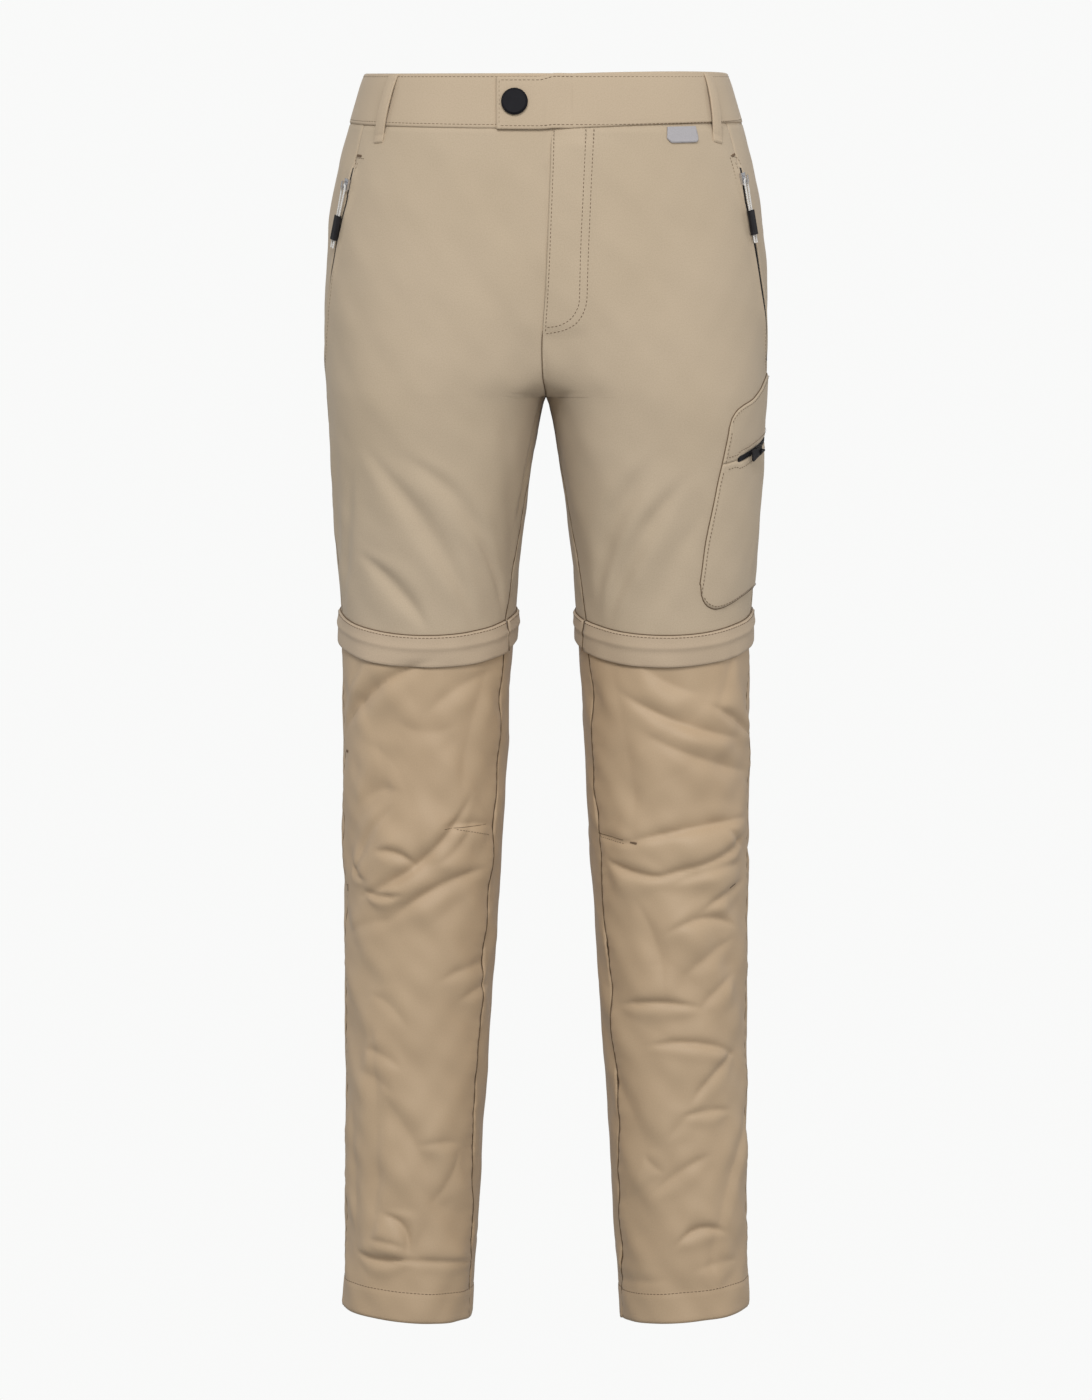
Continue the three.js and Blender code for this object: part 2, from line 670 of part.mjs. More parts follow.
function labelTab() {
  return cloth([-1, -0.93, -0.75, 0, 0.75, 0.93, 1], [0, 0.5, 1], LABEL.wall, (u, v) => {
    const a = LABEL.ahead + u * LABEL.half;
    const rounding = LABEL.corner * clamp((Math.abs(u) - 0.75) / 0.25, 0, 1) ** 2;
    return { side: 1, a, z: bandSeam(a) - 1 - v * (LABEL.drop - rounding), lift: REST_GAP + LABEL.wall };
  });
}

// Hard pieces are drawn in a frame of their own: X across, Y away from the cloth, Z up the pull.
function frameOn(side, from, to, fromLift, toLift) {
  const origin = surface(side, from[0], from[1], fromLift);
  const end = surface(side, to[0], to[1], toLift);
  const up = origin.clone().sub(end).normalize();
  const lifted = surface(side, from[0], from[1], fromLift + 5);
  const out = lifted.sub(origin);
  out.addScaledVector(up, -out.dot(up)).normalize();
  const across = out.clone().cross(up);
  return new THREE.Matrix4().makeBasis(across, out, up).setPosition(origin);
}

function box(x, y, z, cx = 0, cy = 0, cz = 0) {
  return new THREE.BoxGeometry(x, y, z).translate(cx, cy, cz);
}

// A round cord in the plane y = 0.
function cordTube(points, radius, sides) {
  const positions = [];
  points.forEach(([x, z], i) => {
    const before = points[Math.max(i - 1, 0)];
    const after = points[Math.min(i + 1, points.length - 1)];
    const length = Math.hypot(after[0] - before[0], after[1] - before[1]);
    const nx = -(after[1] - before[1]) / length;
    const nz = (after[0] - before[0]) / length;
    for (let k = 0; k < sides; k += 1) {
      const turn = (2 * Math.PI * (k + 0.5)) / sides;
      const off = radius * Math.cos(turn);
      positions.push(x + nx * off, radius * Math.sin(turn), z + nz * off);
    }
  });
  const triangles = [];
  for (let i = 0; i < points.length - 1; i += 1) {
    for (let k = 0; k < sides; k += 1) {
      const a = i * sides + k;
      const b = i * sides + ((k + 1) % sides);
      triangles.push(a, b, b + sides, a, b + sides, a + sides);
    }
  }
  const last = (points.length - 1) * sides;
  for (let k = 1; k < sides - 1; k += 1) {
    triangles.push(0, k + 1, k);
    triangles.push(last, last + k, last + k + 1);
  }
  return solidFrom(positions, triangles);
}

const wasm = await Module();
wasm.setup();

function toManifold(geometry) {
  const source = geometry.index ? geometry : geometry.clone();
  const position = source.attributes.position;
  const index = source.index ? Array.from(source.index.array) : steps(position.count - 1, 0, position.count - 1);
  const seen = new Map();
  const vertices = [];
  const rename = Array.from({ length: position.count }, (_, i) => {
    const point = [position.getX(i), position.getY(i), position.getZ(i)];
    const key = point.map((v) => Math.round(v * 1e4)).join();
    if (!seen.has(key)) {
      seen.set(key, vertices.length / 3);
      vertices.push(...point);
    }
    return seen.get(key);
  });
  const triangles = [];
  for (let i = 0; i < index.length; i += 3) {
    const face = [rename[index[i]], rename[index[i + 1]], rename[index[i + 2]]];
    if (new Set(face).size === 3) triangles.push(...face);
  }
  const mesh = { numProp: 3, vertProperties: Float32Array.from(vertices), triVerts: Uint32Array.from(triangles) };
  return new wasm.Manifold(new wasm.Mesh(mesh));
}

function fromManifold(manifold) {
  const mesh = manifold.getMesh();
  return solidFrom(Array.from(mesh.vertProperties), Array.from(mesh.triVerts));
}

const SLIDER = { width: 6.6, length: 10.5, bodyLow: -3.5, bodyHigh: -1.5 };
const ARCH = { width: 1.8, top: 2.4, length: 6, opening: 2.9, openingY: -0.05, openingLength: 4, sunk: 0.4 };
const NOTCH = { width: 2.4, length: 3, out: 0.4 };

function slider() {
  const { width, length, bodyLow, bodyHigh } = SLIDER;
  const body = box(width, bodyHigh - bodyLow, length, 0, (bodyHigh + bodyLow) / 2, 0);
  const foot = bodyHigh - ARCH.sunk;
  const arch = box(ARCH.width, ARCH.top - foot, ARCH.length, 0, (ARCH.top + foot) / 2, 0);
  const opening = box(2 * ARCH.width, ARCH.opening, ARCH.openingLength, 0, ARCH.openingY, 0);
  const notches = [-1, 1].map((end) => {
    return box(NOTCH.width, length, NOTCH.length, end * (width / 2 + NOTCH.out), bodyLow, -length / 2);
  });
  const solid = notches.reduce((left, notch) => left.subtract(toManifold(notch)), toManifold(body));
  return fromManifold(solid.add(toManifold(arch).subtract(toManifold(opening))));
}

const CORD_RADIUS = 0.85;
const CORD_BEND = 2.6;
const CORD_APART = 1.75;
const GRIP = { top: -27, length: 21, width: 7.6, depth: 4.2, channel: 1.2 };
const CORD_END = -55;

function pullCord() {
  const bend = steps(8, 0, Math.PI).map((turn) => [
    CORD_BEND * Math.cos(turn),
    -CORD_BEND + CORD_BEND * Math.sin(turn),
  ]);
  const path = [
    [CORD_APART, CORD_END],
    [CORD_APART, GRIP.top + 3],
    ...bend,
    [-CORD_APART, GRIP.top + 3],
    [-CORD_APART, CORD_END],
  ];
  return cordTube(path, CORD_RADIUS, 6);
}

function pullGrip() {
  const { top, length, width, depth, channel } = GRIP;
  const shape = new THREE.Shape();
  const bevel = 1.1;
  const x = width / 2;
  const y = depth / 2;
  shape.moveTo(-x + bevel, -y).lineTo(x - bevel, -y).lineTo(x, -y + bevel).lineTo(x, y - bevel);
  shape.lineTo(x - bevel, y).lineTo(-x + bevel, y).lineTo(-x, y - bevel).lineTo(-x, -y + bevel);
  for (const at of [-CORD_APART, CORD_APART]) {
    shape.holes.push(new THREE.Path().absarc(at, 0, channel, 0, 2 * Math.PI, true));
  }
  const grip = new THREE.ExtrudeGeometry(shape, { depth: length, bevelEnabled: false, curveSegments: 8 });
  return grip.translate(0, 0, top - length);
}

const TAB = { thick: 1.4, top: 0.7, length: 17, topWidth: 6.4, endWidth: 10.5, holeHalf: 1.8, holeEnd: -4.6 };

function pullTab() {
  const { thick, top, length, topWidth, endWidth, holeHalf, holeEnd } = TAB;
  const shape = new THREE.Shape();
  shape.moveTo(-topWidth / 2, top).lineTo(-topWidth / 2, -5).lineTo(-endWidth / 2, -length + 1.5);
  shape.lineTo(-endWidth / 2 + 1.5, -length).lineTo(endWidth / 2 - 1.5, -length);
  shape.lineTo(endWidth / 2, -length + 1.5).lineTo(topWidth / 2, -5).lineTo(topWidth / 2, top);
  const hole = new THREE.Path().moveTo(-holeHalf, -top).lineTo(-holeHalf, holeEnd);
  shape.holes.push(hole.lineTo(holeHalf, holeEnd).lineTo(holeHalf, -top));
  const tab = new THREE.ExtrudeGeometry(shape, { depth: thick, bevelEnabled: false });
  return tab.translate(0, 0, -thick / 2).rotateX(Math.PI / 2);
}

const BUTTON = { acrossTab: 25.8, z: -10.5, radius: 11.2, height: 3.4, skirt: 0.6, domeTop: 0.84, sides: 28 };

function snapButton() {
  const { radius, height, domeTop, sides } = BUTTON;
  const low = height * BUTTON.skirt;
  const skirt = new THREE.CylinderGeometry(radius, radius, low, sides).translate(0, low / 2, 0);
  const dome = new THREE.CylinderGeometry(radius * domeTop, radius, height - low, sides);
  dome.translate(0, (height + low) / 2, 0);
  return fromManifold(toManifold(skirt).add(toManifold(dome)));
}

const COLOURS = {
  cloth: [CLOTH, 0.85, 0],
  lower: [CLOTH_LOWER, 0.7, 0],
  band: [CLOTH_BAND, 0.85, 0],
  zip: [0x222023, 0.6, 0],
  metal: [0xc4c4c6, 0.3, 1],
  cord: [0xe8e6e2, 0.8, 0],
  grip: [0x333133, 0.55, 0],
  button: [0x28272c, 0.4, 0],
  label: [0xa59f9c, 0.75, 0],
};

const PULLS = [
  { name: "right", side: -1, hinge: [59.5, -78], end: [50, -130] },
  { name: "left", side: 1, hinge: [61.5, -73], end: [57, -126] },
];
const HINGE_LIFT = 5.3;
const PULL_END_LIFT = 4.4;
const CARGO_HINGE_LIFT = 6.7;

const model = new THREE.Group();

function add(name, colour, geometry, matrix) {
  const [color, roughness, metalness] = COLOURS[colour];
  if (matrix) geometry.applyMatrix4(matrix);
  const mesh = new THREE.Mesh(geometry, new THREE.MeshStandardMaterial({ color, roughness, metalness }));
  mesh.name = name;
  model.add(mesh);
}

for (const [name, side] of [["right", -1], ["left", 1]]) {
  add(`thigh_front_${name}`, "cloth", frontThigh(side));
  add(`thigh_back_${name}`, "cloth", backThigh(side));
  add(`pocket_side_${name}`, "cloth", sidePocketPanel(side));
  add(`shin_front_${name}`, "lower", shin(side, FRONT_TURNS));
  add(`shin_back_${name}`, "lower", shin(side, BACK_TURNS));
  add(`knee_flap_${name}`, "band", kneeRing(side, FLAP_ROWS, FLAP_WALL));
  add(`knee_zip_${name}`, "zip", kneeRing(side, ZIP_RING_ROWS, 1.2));
  add(`pocket_zip_${name}`, "zip", pocketZip(side));
}
add("waistband_front_left", "band", waistbandFrontLeft());
add("waistband_front_right", "band", waistbandFrontRight());
add("waistband_back", "band", waistbandBack());
add("fly_shield", "cloth", flyShield());
for (const loop of LOOPS) add(loop.name, "cloth", beltLoop(loop));
add("belt_loop_back_centre", "cloth", centreBackLoop());

const aboveSlot = (a) => CARGO_LINE(a) + cargoSlot(a);
const belowSlot = (a) => CARGO_LINE(a) - cargoSlot(a);
add("cargo_yoke", "cloth", cargoPiece(CARGO_TURNS, steps(4), CARGO_TOP, aboveSlot));
add("cargo_pouch", "cloth", cargoPiece(CARGO_TURNS, steps(7), belowSlot, CARGO_BOTTOM));
add("cargo_zip", "zip", cargoZip());
add("label_tab", "label", labelTab());

for (const { name, side, hinge, end } of PULLS) {
  const frame = frameOn(side, hinge, end, HINGE_LIFT, PULL_END_LIFT);
  add(`pocket_slider_${name}`, "metal", slider(), frame);
  add(`pull_cord_${name}`, "cord", pullCord(), frame);
  add(`pull_grip_${name}`, "grip", pullGrip(), frame);
}
const cargoHinge = [50, CARGO_LINE(50)];
const cargoEnd = [67, CARGO_LINE(67)];
const cargoFrame = frameOn(1, cargoHinge, cargoEnd, CARGO_HINGE_LIFT, CARGO_HINGE_LIFT - 0.4);
add("cargo_slider", "zip", slider(), cargoFrame);
add("cargo_pull", "grip", pullTab(), cargoFrame);

function buttonFrame() {
  const a = levelAt(BUTTON.z).marks[0] - BUTTON.acrossTab;
  const base = surface(-1, a, BUTTON.z, TAB_RAISE + REST_GAP);
  const out = surface(-1, a, BUTTON.z, TAB_RAISE + 5).sub(base).normalize();
  const turn = new THREE.Quaternion().setFromUnitVectors(new THREE.Vector3(0, 1, 0), out);
  return new THREE.Matrix4().makeRotationFromQuaternion(turn).setPosition(base);
}

add("snap_button", "button", snapButton(), buttonFrame());

export default model;
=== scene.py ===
import math

import bpy
import numpy as np
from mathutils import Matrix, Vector


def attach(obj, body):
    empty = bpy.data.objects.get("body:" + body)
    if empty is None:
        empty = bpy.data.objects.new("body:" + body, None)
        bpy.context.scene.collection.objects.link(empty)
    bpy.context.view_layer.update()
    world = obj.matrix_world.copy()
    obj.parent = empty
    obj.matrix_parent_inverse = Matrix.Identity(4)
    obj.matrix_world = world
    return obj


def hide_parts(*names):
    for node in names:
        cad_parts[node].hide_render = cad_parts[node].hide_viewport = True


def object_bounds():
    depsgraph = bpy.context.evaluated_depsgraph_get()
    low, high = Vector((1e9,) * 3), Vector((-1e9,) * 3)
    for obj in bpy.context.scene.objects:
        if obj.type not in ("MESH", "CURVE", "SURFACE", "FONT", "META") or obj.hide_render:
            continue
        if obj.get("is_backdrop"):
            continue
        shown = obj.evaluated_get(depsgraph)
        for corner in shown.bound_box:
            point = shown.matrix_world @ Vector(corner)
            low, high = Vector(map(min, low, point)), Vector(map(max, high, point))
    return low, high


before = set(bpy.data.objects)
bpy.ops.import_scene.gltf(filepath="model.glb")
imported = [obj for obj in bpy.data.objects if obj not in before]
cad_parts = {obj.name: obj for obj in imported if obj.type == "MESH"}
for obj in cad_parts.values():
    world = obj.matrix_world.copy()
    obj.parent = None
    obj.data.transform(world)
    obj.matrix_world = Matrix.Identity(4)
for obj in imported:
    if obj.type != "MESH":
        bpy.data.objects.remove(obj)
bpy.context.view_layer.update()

# Lengths below are millimetres and meshes are metres. Z is up and the front faces -Y. The body's
# middle surface is built as two halves, which stop at MIDDLE from the centre plane.
MM = 0.001
MIDDLE = 0.17

# The band's top and its seam rise or fall towards the back by their tilts.
WAIST_TOP, WAIST_TOP_TILT = 20, 0.058
WAIST_SEAM, WAIST_SEAM_TILT = -22, 0.09
CROTCH_Z = -257.5

# The flap over the leg zip: the level its length is taken at, its top at the side, and how much lower
# that is in front and higher behind. The panels above and below tuck in under it.
KNEE_Z, KNEE_SIDE, KNEE_DIP, KNEE_RISE = -455, -440, 19, 4
FLAP_DEPTH = 27
THIGH_TUCK, SHIN_TUCK = 8, 17

# The hem falls from the outer side towards the inner one.
HEM_Z, HEM_SLOPE, HEM_OUTER_X, HEM_DEPTH = -1050, 0.085, 178, 26

FLY_END_Z, FLY_RAISE, FLY_RAISE_WIDTH = -205, 1.9, 42
TAB_LENGTH, TAB_RAISE = 41, 3.2
POCKET_END = -246

# Level sections by height: x of the inner and outer edge and of the crest between them, y of front
# and back, y where the two edges are, x of the crease and the power of the curve.

SECTION_COLUMNS = ["z", "inner", "outer", "crest", "front", "back", "innerY", "outerY", "crease", "power"]
SECTION_ROWS = [
    [40, -150, 150.5, 0.2, -116, 121, 2, 2, 60, 2.25],
    [5, -160, 160.3, 0.2, -118, 125, 2, 2, 62, 2.25],
    [-30, -170, 170.5, 0.2, -119.5, 130, 2, 2, 65, 2.25],
    [-62, -178, 178.8, 2, -121, 135, 3, 2, 68, 2.22],
    [-100, -170, 185.8, 8, -122, 141, 4, 2, 72, 2.2],
    [-140, -146, 189.2, 22, -122, 145, 5, 2, 76, 2.18],
    [-190, -101, 191, 45, -120, 144, 6, 2, 82, 2.15],
    [-230, -60, 190.6, 72, -116, 134, 7, 2, 88, 2.1],
    [-245, -34, 190.1, 82, -114, 129.5, 7.5, 2, 91, 2.1],
    [-252, -17, 189.7, 89, -113, 126, 7.8, 2, 93, 2.1],
    [CROTCH_Z, MIDDLE, 189.3, 94.7, -112, 123, 8, 2, 94.7, 2.1],
    [-300, 9.3, 186.4, 97.8, -105, 108, 6, 1, 97.8, 2.1],
    [-350, 16.6, 183.3, 100, -98, 95, 4, 0, 100, 2.1],
    [-400, 22.5, 180.4, 101.5, -91, 84, 1, 0, 101.5, 2.1],
    [-450, 27, 177.2, 102, -85, 75, -2, 0, 102, 2.12],
    [-500, 30.5, 176.3, 103.4, -81, 71, -3, 0, 103.4, 2.15],
    [-600, 35.2, 176.3, 105.8, -77, 72, -2, 0, 105.8, 2.15],
    [-700, 41.5, 175.6, 108.5, -73, 74, 0, 0, 108.5, 2.1],
    [-800, 48.3, 175.2, 111.7, -69, 73, 1, 0, 111.7, 2.05],
    [-900, 55, 175.2, 115, -66, 70, 2, 0, 115, 2],
    [-1000, 60.8, 176, 118.4, -63, 67, 2, 0, 118.4, 2],
    [-1070, 65.4, 178.7, 122, -62, 66, 2, 0, 122, 2],
]

# Distances of the seams and the pocket edge ahead of the inner edge or the side extreme, by height.
SEAM_COLUMNS = ["z", "inseam", "sideSeam"]
SEAM_ROWS = [
    [40, 0, 0], [CROTCH_Z, 0, 0], [-300, 16, 4], [-350, 32, 8], [-450, 40, 16],
    [-560, 36, 18], [-700, 40, 16], [-850, 40, 14], [-950, 32, 12], [-1070, 20, 10],
]
POCKET_COLUMNS = ["z", "ahead"]
POCKET_ROWS = [
    [0, 60], [-50, 60], [-90, 60], [-113, 54], [-135, 48], [-160, 42], [-190, 34], [-222, 22],
    [POCKET_END, 3],
]


def smooth(low, high, v):
    q = np.clip((v - low) / (high - low), 0, 1)
    return q * q * (3 - 2 * q)


def mix(a, b, q):
    return a + (b - a) * q


def bell(distance, width):
    return np.exp(-((distance / width) ** 2))


def unit(vectors):
    return vectors / np.linalg.norm(vectors, axis=-1, keepdims=True)


# A smooth curve through a table's column that never overshoots its values.
def curve_through(knots, values):
    knots, values = np.array(knots, float), np.array(values, float)
    step = np.diff(values) / np.diff(knots)
    slopes = np.zeros(len(knots))
    for i in range(1, len(knots) - 1):
        before, after = step[i - 1], step[i]
        if before * after > 0:
            slopes[i] = 2 * before * after / (before + after)

    def curve(at):
        v = np.clip(at, knots[0], knots[-1])
        i = np.clip(np.searchsorted(knots, v, side="left") - 1, 0, len(knots) - 2)
        span = knots[i + 1] - knots[i]
        q = (v - knots[i]) / span
        bend = q * q * (3 - 2 * q)
        lead = q * (1 - q) ** 2 * span * slopes[i]
        tail = q * q * (1 - q) * span * slopes[i + 1]
        return mix(values[i], values[i + 1], bend) + lead - tail

    return curve


def table_curves(columns, rows):
    rows = sorted(rows, key=lambda row: row[0])
    knots = [row[0] for row in rows]
    return {name: curve_through(knots, [row[i] for row in rows]) for i, name in enumerate(columns) if i}


SECTION = table_curves(SECTION_COLUMNS, SECTION_ROWS)
SEAM = table_curves(SEAM_COLUMNS, SEAM_ROWS)
POCKET = table_curves(POCKET_COLUMNS, POCKET_ROWS)

# Level sections of one half, each as evenly spaced points from the inner edge round the front,
# side and back. Positions on a level are millimetres ahead of its side extreme.
LEVEL_LOW, LEVEL_HIGH, LEVEL_STEP = -1084, 48, 0.5
DRAWN, SAMPLES = 288, 640

# How full the front's curve is on the inner half of a section, by height.
FRONT_FULLNESS = curve_through(
    [-460, -400, -340, -290, -258, -235, -200, -160], [2.12, 2.24, 2.48, 2.76, 2.95, 2.7, 2.3, 2.17]
)

# The heights above and below, and their spread, over which sections are eased at the crotch.
EASE_STEPS = (-40, -30, -22, -15, -9, -4, 0, 4, 9, 15, 22, 30, 40)
EASE_SPREAD = 22
TINY = 0.01


class Levels:
    def __init__(self):
        zs = np.arange(LEVEL_LOW, LEVEL_HIGH + LEVEL_STEP / 2, LEVEL_STEP)
        cut_z = {name: curve(zs)[:, None] for name, curve in SECTION.items()}
        inner, outer, crest = cut_z["inner"], cut_z["outer"], cut_z["crest"]
        exponent = 2 / cut_z["power"]
        closed = inner >= MIDDLE
        cut = np.where(closed, 1, (crest - MIDDLE) / np.maximum(crest - inner, TINY))
        start = np.where(closed, 0, np.arccos(np.clip(cut ** (1 / exponent), 0, 1)))
        turn = start + (2 * np.pi - 2 * start) * np.linspace(0, 1, DRAWN + 1)[None, :]
        across = np.abs(np.cos(turn)) ** exponent
        along = np.abs(np.sin(turn)) ** exponent
        inside, ahead = np.cos(turn) > 0, np.sin(turn) > 0
        x = np.where(inside, crest - (crest - inner) * across, crest + (outer - crest) * across)
        rest = np.where(inside, cut_z["innerY"], cut_z["outerY"])
        reach = np.where(ahead, cut_z["front"], cut_z["back"])
        fuller = np.where(inside & ahead, 2 / FRONT_FULLNESS(zs)[:, None], exponent)
        level = np.clip((crest - x) / np.maximum(crest - inner, TINY), 0, 1) ** (2 / fuller)
        full_front = np.maximum(1 - level, 0) ** (fuller / 2)
        y = rest + (reach - rest) * np.where(fuller != exponent, full_front, along)
        walked = np.cumsum(np.hypot(np.diff(x), np.diff(y)), axis=1)
        arcs = np.concatenate([np.zeros((len(zs), 1)), walked], axis=1)
        half = DRAWN // 2
        self.zs, self.closed, self.total, self.side = zs, closed[:, 0], arcs[:, -1], arcs[:, half]
        even = np.linspace(0, 1, SAMPLES + 1)
        self.x = np.array([np.interp(even * t, s, v) for t, s, v in zip(self.total, arcs, x)])
        self.y = np.array([np.interp(even * t, s, v) for t, s, v in zip(self.total, arcs, y)])
        shift = np.where(self.closed, SEAM["inseam"](zs), 0)
        crease = SECTION["crease"](zs)
        front = [np.interp(c, px[: half + 1], s[: half + 1]) for c, px, s in zip(crease, x, arcs)]
        back = [np.interp(c, px[half:][::-1], s[half:][::-1]) for c, px, s in zip(crease, x, arcs)]
        self.marks = np.stack([
            self.side - shift, self.side - np.array(front), SEAM["sideSeam"](zs),
            self.side - np.array(back), self.side - self.total - shift,
        ], axis=1)

    def find(self, z):
        f = np.clip((np.asarray(z, float) - LEVEL_LOW) / LEVEL_STEP, 0, len(self.zs) - 1.001)
        k = f.astype(int)
        return k, f - k

    # The seams and creases: 0 inseam or centre front, 1 front crease, 2 side seam, 3 back crease,
    # 4 inseam or centre back.
    def mark(self, i, z):
        k, q = self.find(z)
        return mix(self.marks[k, i], self.marks[k + 1, i], q)

    def round(self, z):
        k, q = self.find(z)
        return mix(self.total[k], self.total[k + 1], q)

    def on(self, k, a):
        s = self.side[k] - a
        total = self.total[k]
        s = np.where(self.closed[k], np.mod(s, total), np.clip(s, 0, total))
        j = np.clip(s / total * SAMPLES, 0, SAMPLES - 0.001)
        i = j.astype(int)
        return mix(self.x[k, i], self.x[k, i + 1], j - i), mix(self.y[k, i], self.y[k, i + 1], j - i)

    def plain_point(self, a, z):
        k, q = self.find(z)
        x0, y0 = self.on(k, a)
        x1, y1 = self.on(k + 1, a)
        return mix(x0, x1, q), mix(y0, y1, q)

    # The level sections, eased into each other where the two legs part.
    def point(self, a, z):
        a, z = np.broadcast_arrays(np.asarray(a, float), np.asarray(z, float))
        x, y = self.plain_point(a, z)
        ease = (1 - smooth(24, 60, np.abs(z - CROTCH_Z))) * smooth(2, 26, x) * smooth(30, -30, y)
        if (ease > 0).any():
            sum_x, sum_y, whole = np.zeros_like(x), np.zeros_like(y), 0
            for step in EASE_STEPS:
                weight = math.exp(-((step / EASE_SPREAD) ** 2))
                near_x, near_y = self.plain_point(a, z + step)
                sum_x, sum_y, whole = sum_x + weight * near_x, sum_y + weight * near_y, whole + weight
            x, y = mix(x, sum_x / whole, ease), mix(y, sum_y / whole, ease)
        return x, y

    # Where the front of the half has this x at this height.
    def front_ahead(self, x, z):
        k, _ = self.find(z)
        s = np.linspace(0, self.total[k], SAMPLES + 1)
        front = s <= self.side[k]
        return float(self.side[k] - np.interp(x, self.x[k][front], s[front]))


LEVELS = Levels()

# How far apart the places are that a normal is worked out from.
REACH = 2.5


def spot(a, z):
    x, y = LEVELS.point(a, z)
    x0, y0 = LEVELS.point(a + REACH, z)
    x1, y1 = LEVELS.point(a - REACH, z)
    x2, y2 = LEVELS.point(a, z - REACH)
    x3, y3 = LEVELS.point(a, z + REACH)
    along = np.stack([x1 - x0, y1 - y0, np.zeros_like(x)], axis=-1)
    up = np.stack([x3 - x2, y3 - y2, np.full_like(x, 2 * REACH)], axis=-1)
    return x, y, unit(np.cross(along, up))


# The photograph: where its middle and its eye level are, how far the camera is, and its scale.
PHOTO = {"middle_x": 546, "eye_y": 352, "eye_z": -220, "distance": 4000, "mm_per_pixel": 0.87}


# A pixel of the photograph on the front of the trousers, as its side, distance ahead and height.
def from_pixel(px, py):
    side = -1 if px < PHOTO["middle_x"] else 1
    y = -80.0
    for _ in range(4):
        scale = PHOTO["mm_per_pixel"] * (1 + y / PHOTO["distance"])
        x = abs(px - PHOTO["middle_x"]) * scale
        z = PHOTO["eye_z"] + (PHOTO["eye_y"] - py) * scale
        a = LEVELS.front_ahead(x, z)
        y = float(LEVELS.point(a, z)[1])
    return side, a, z


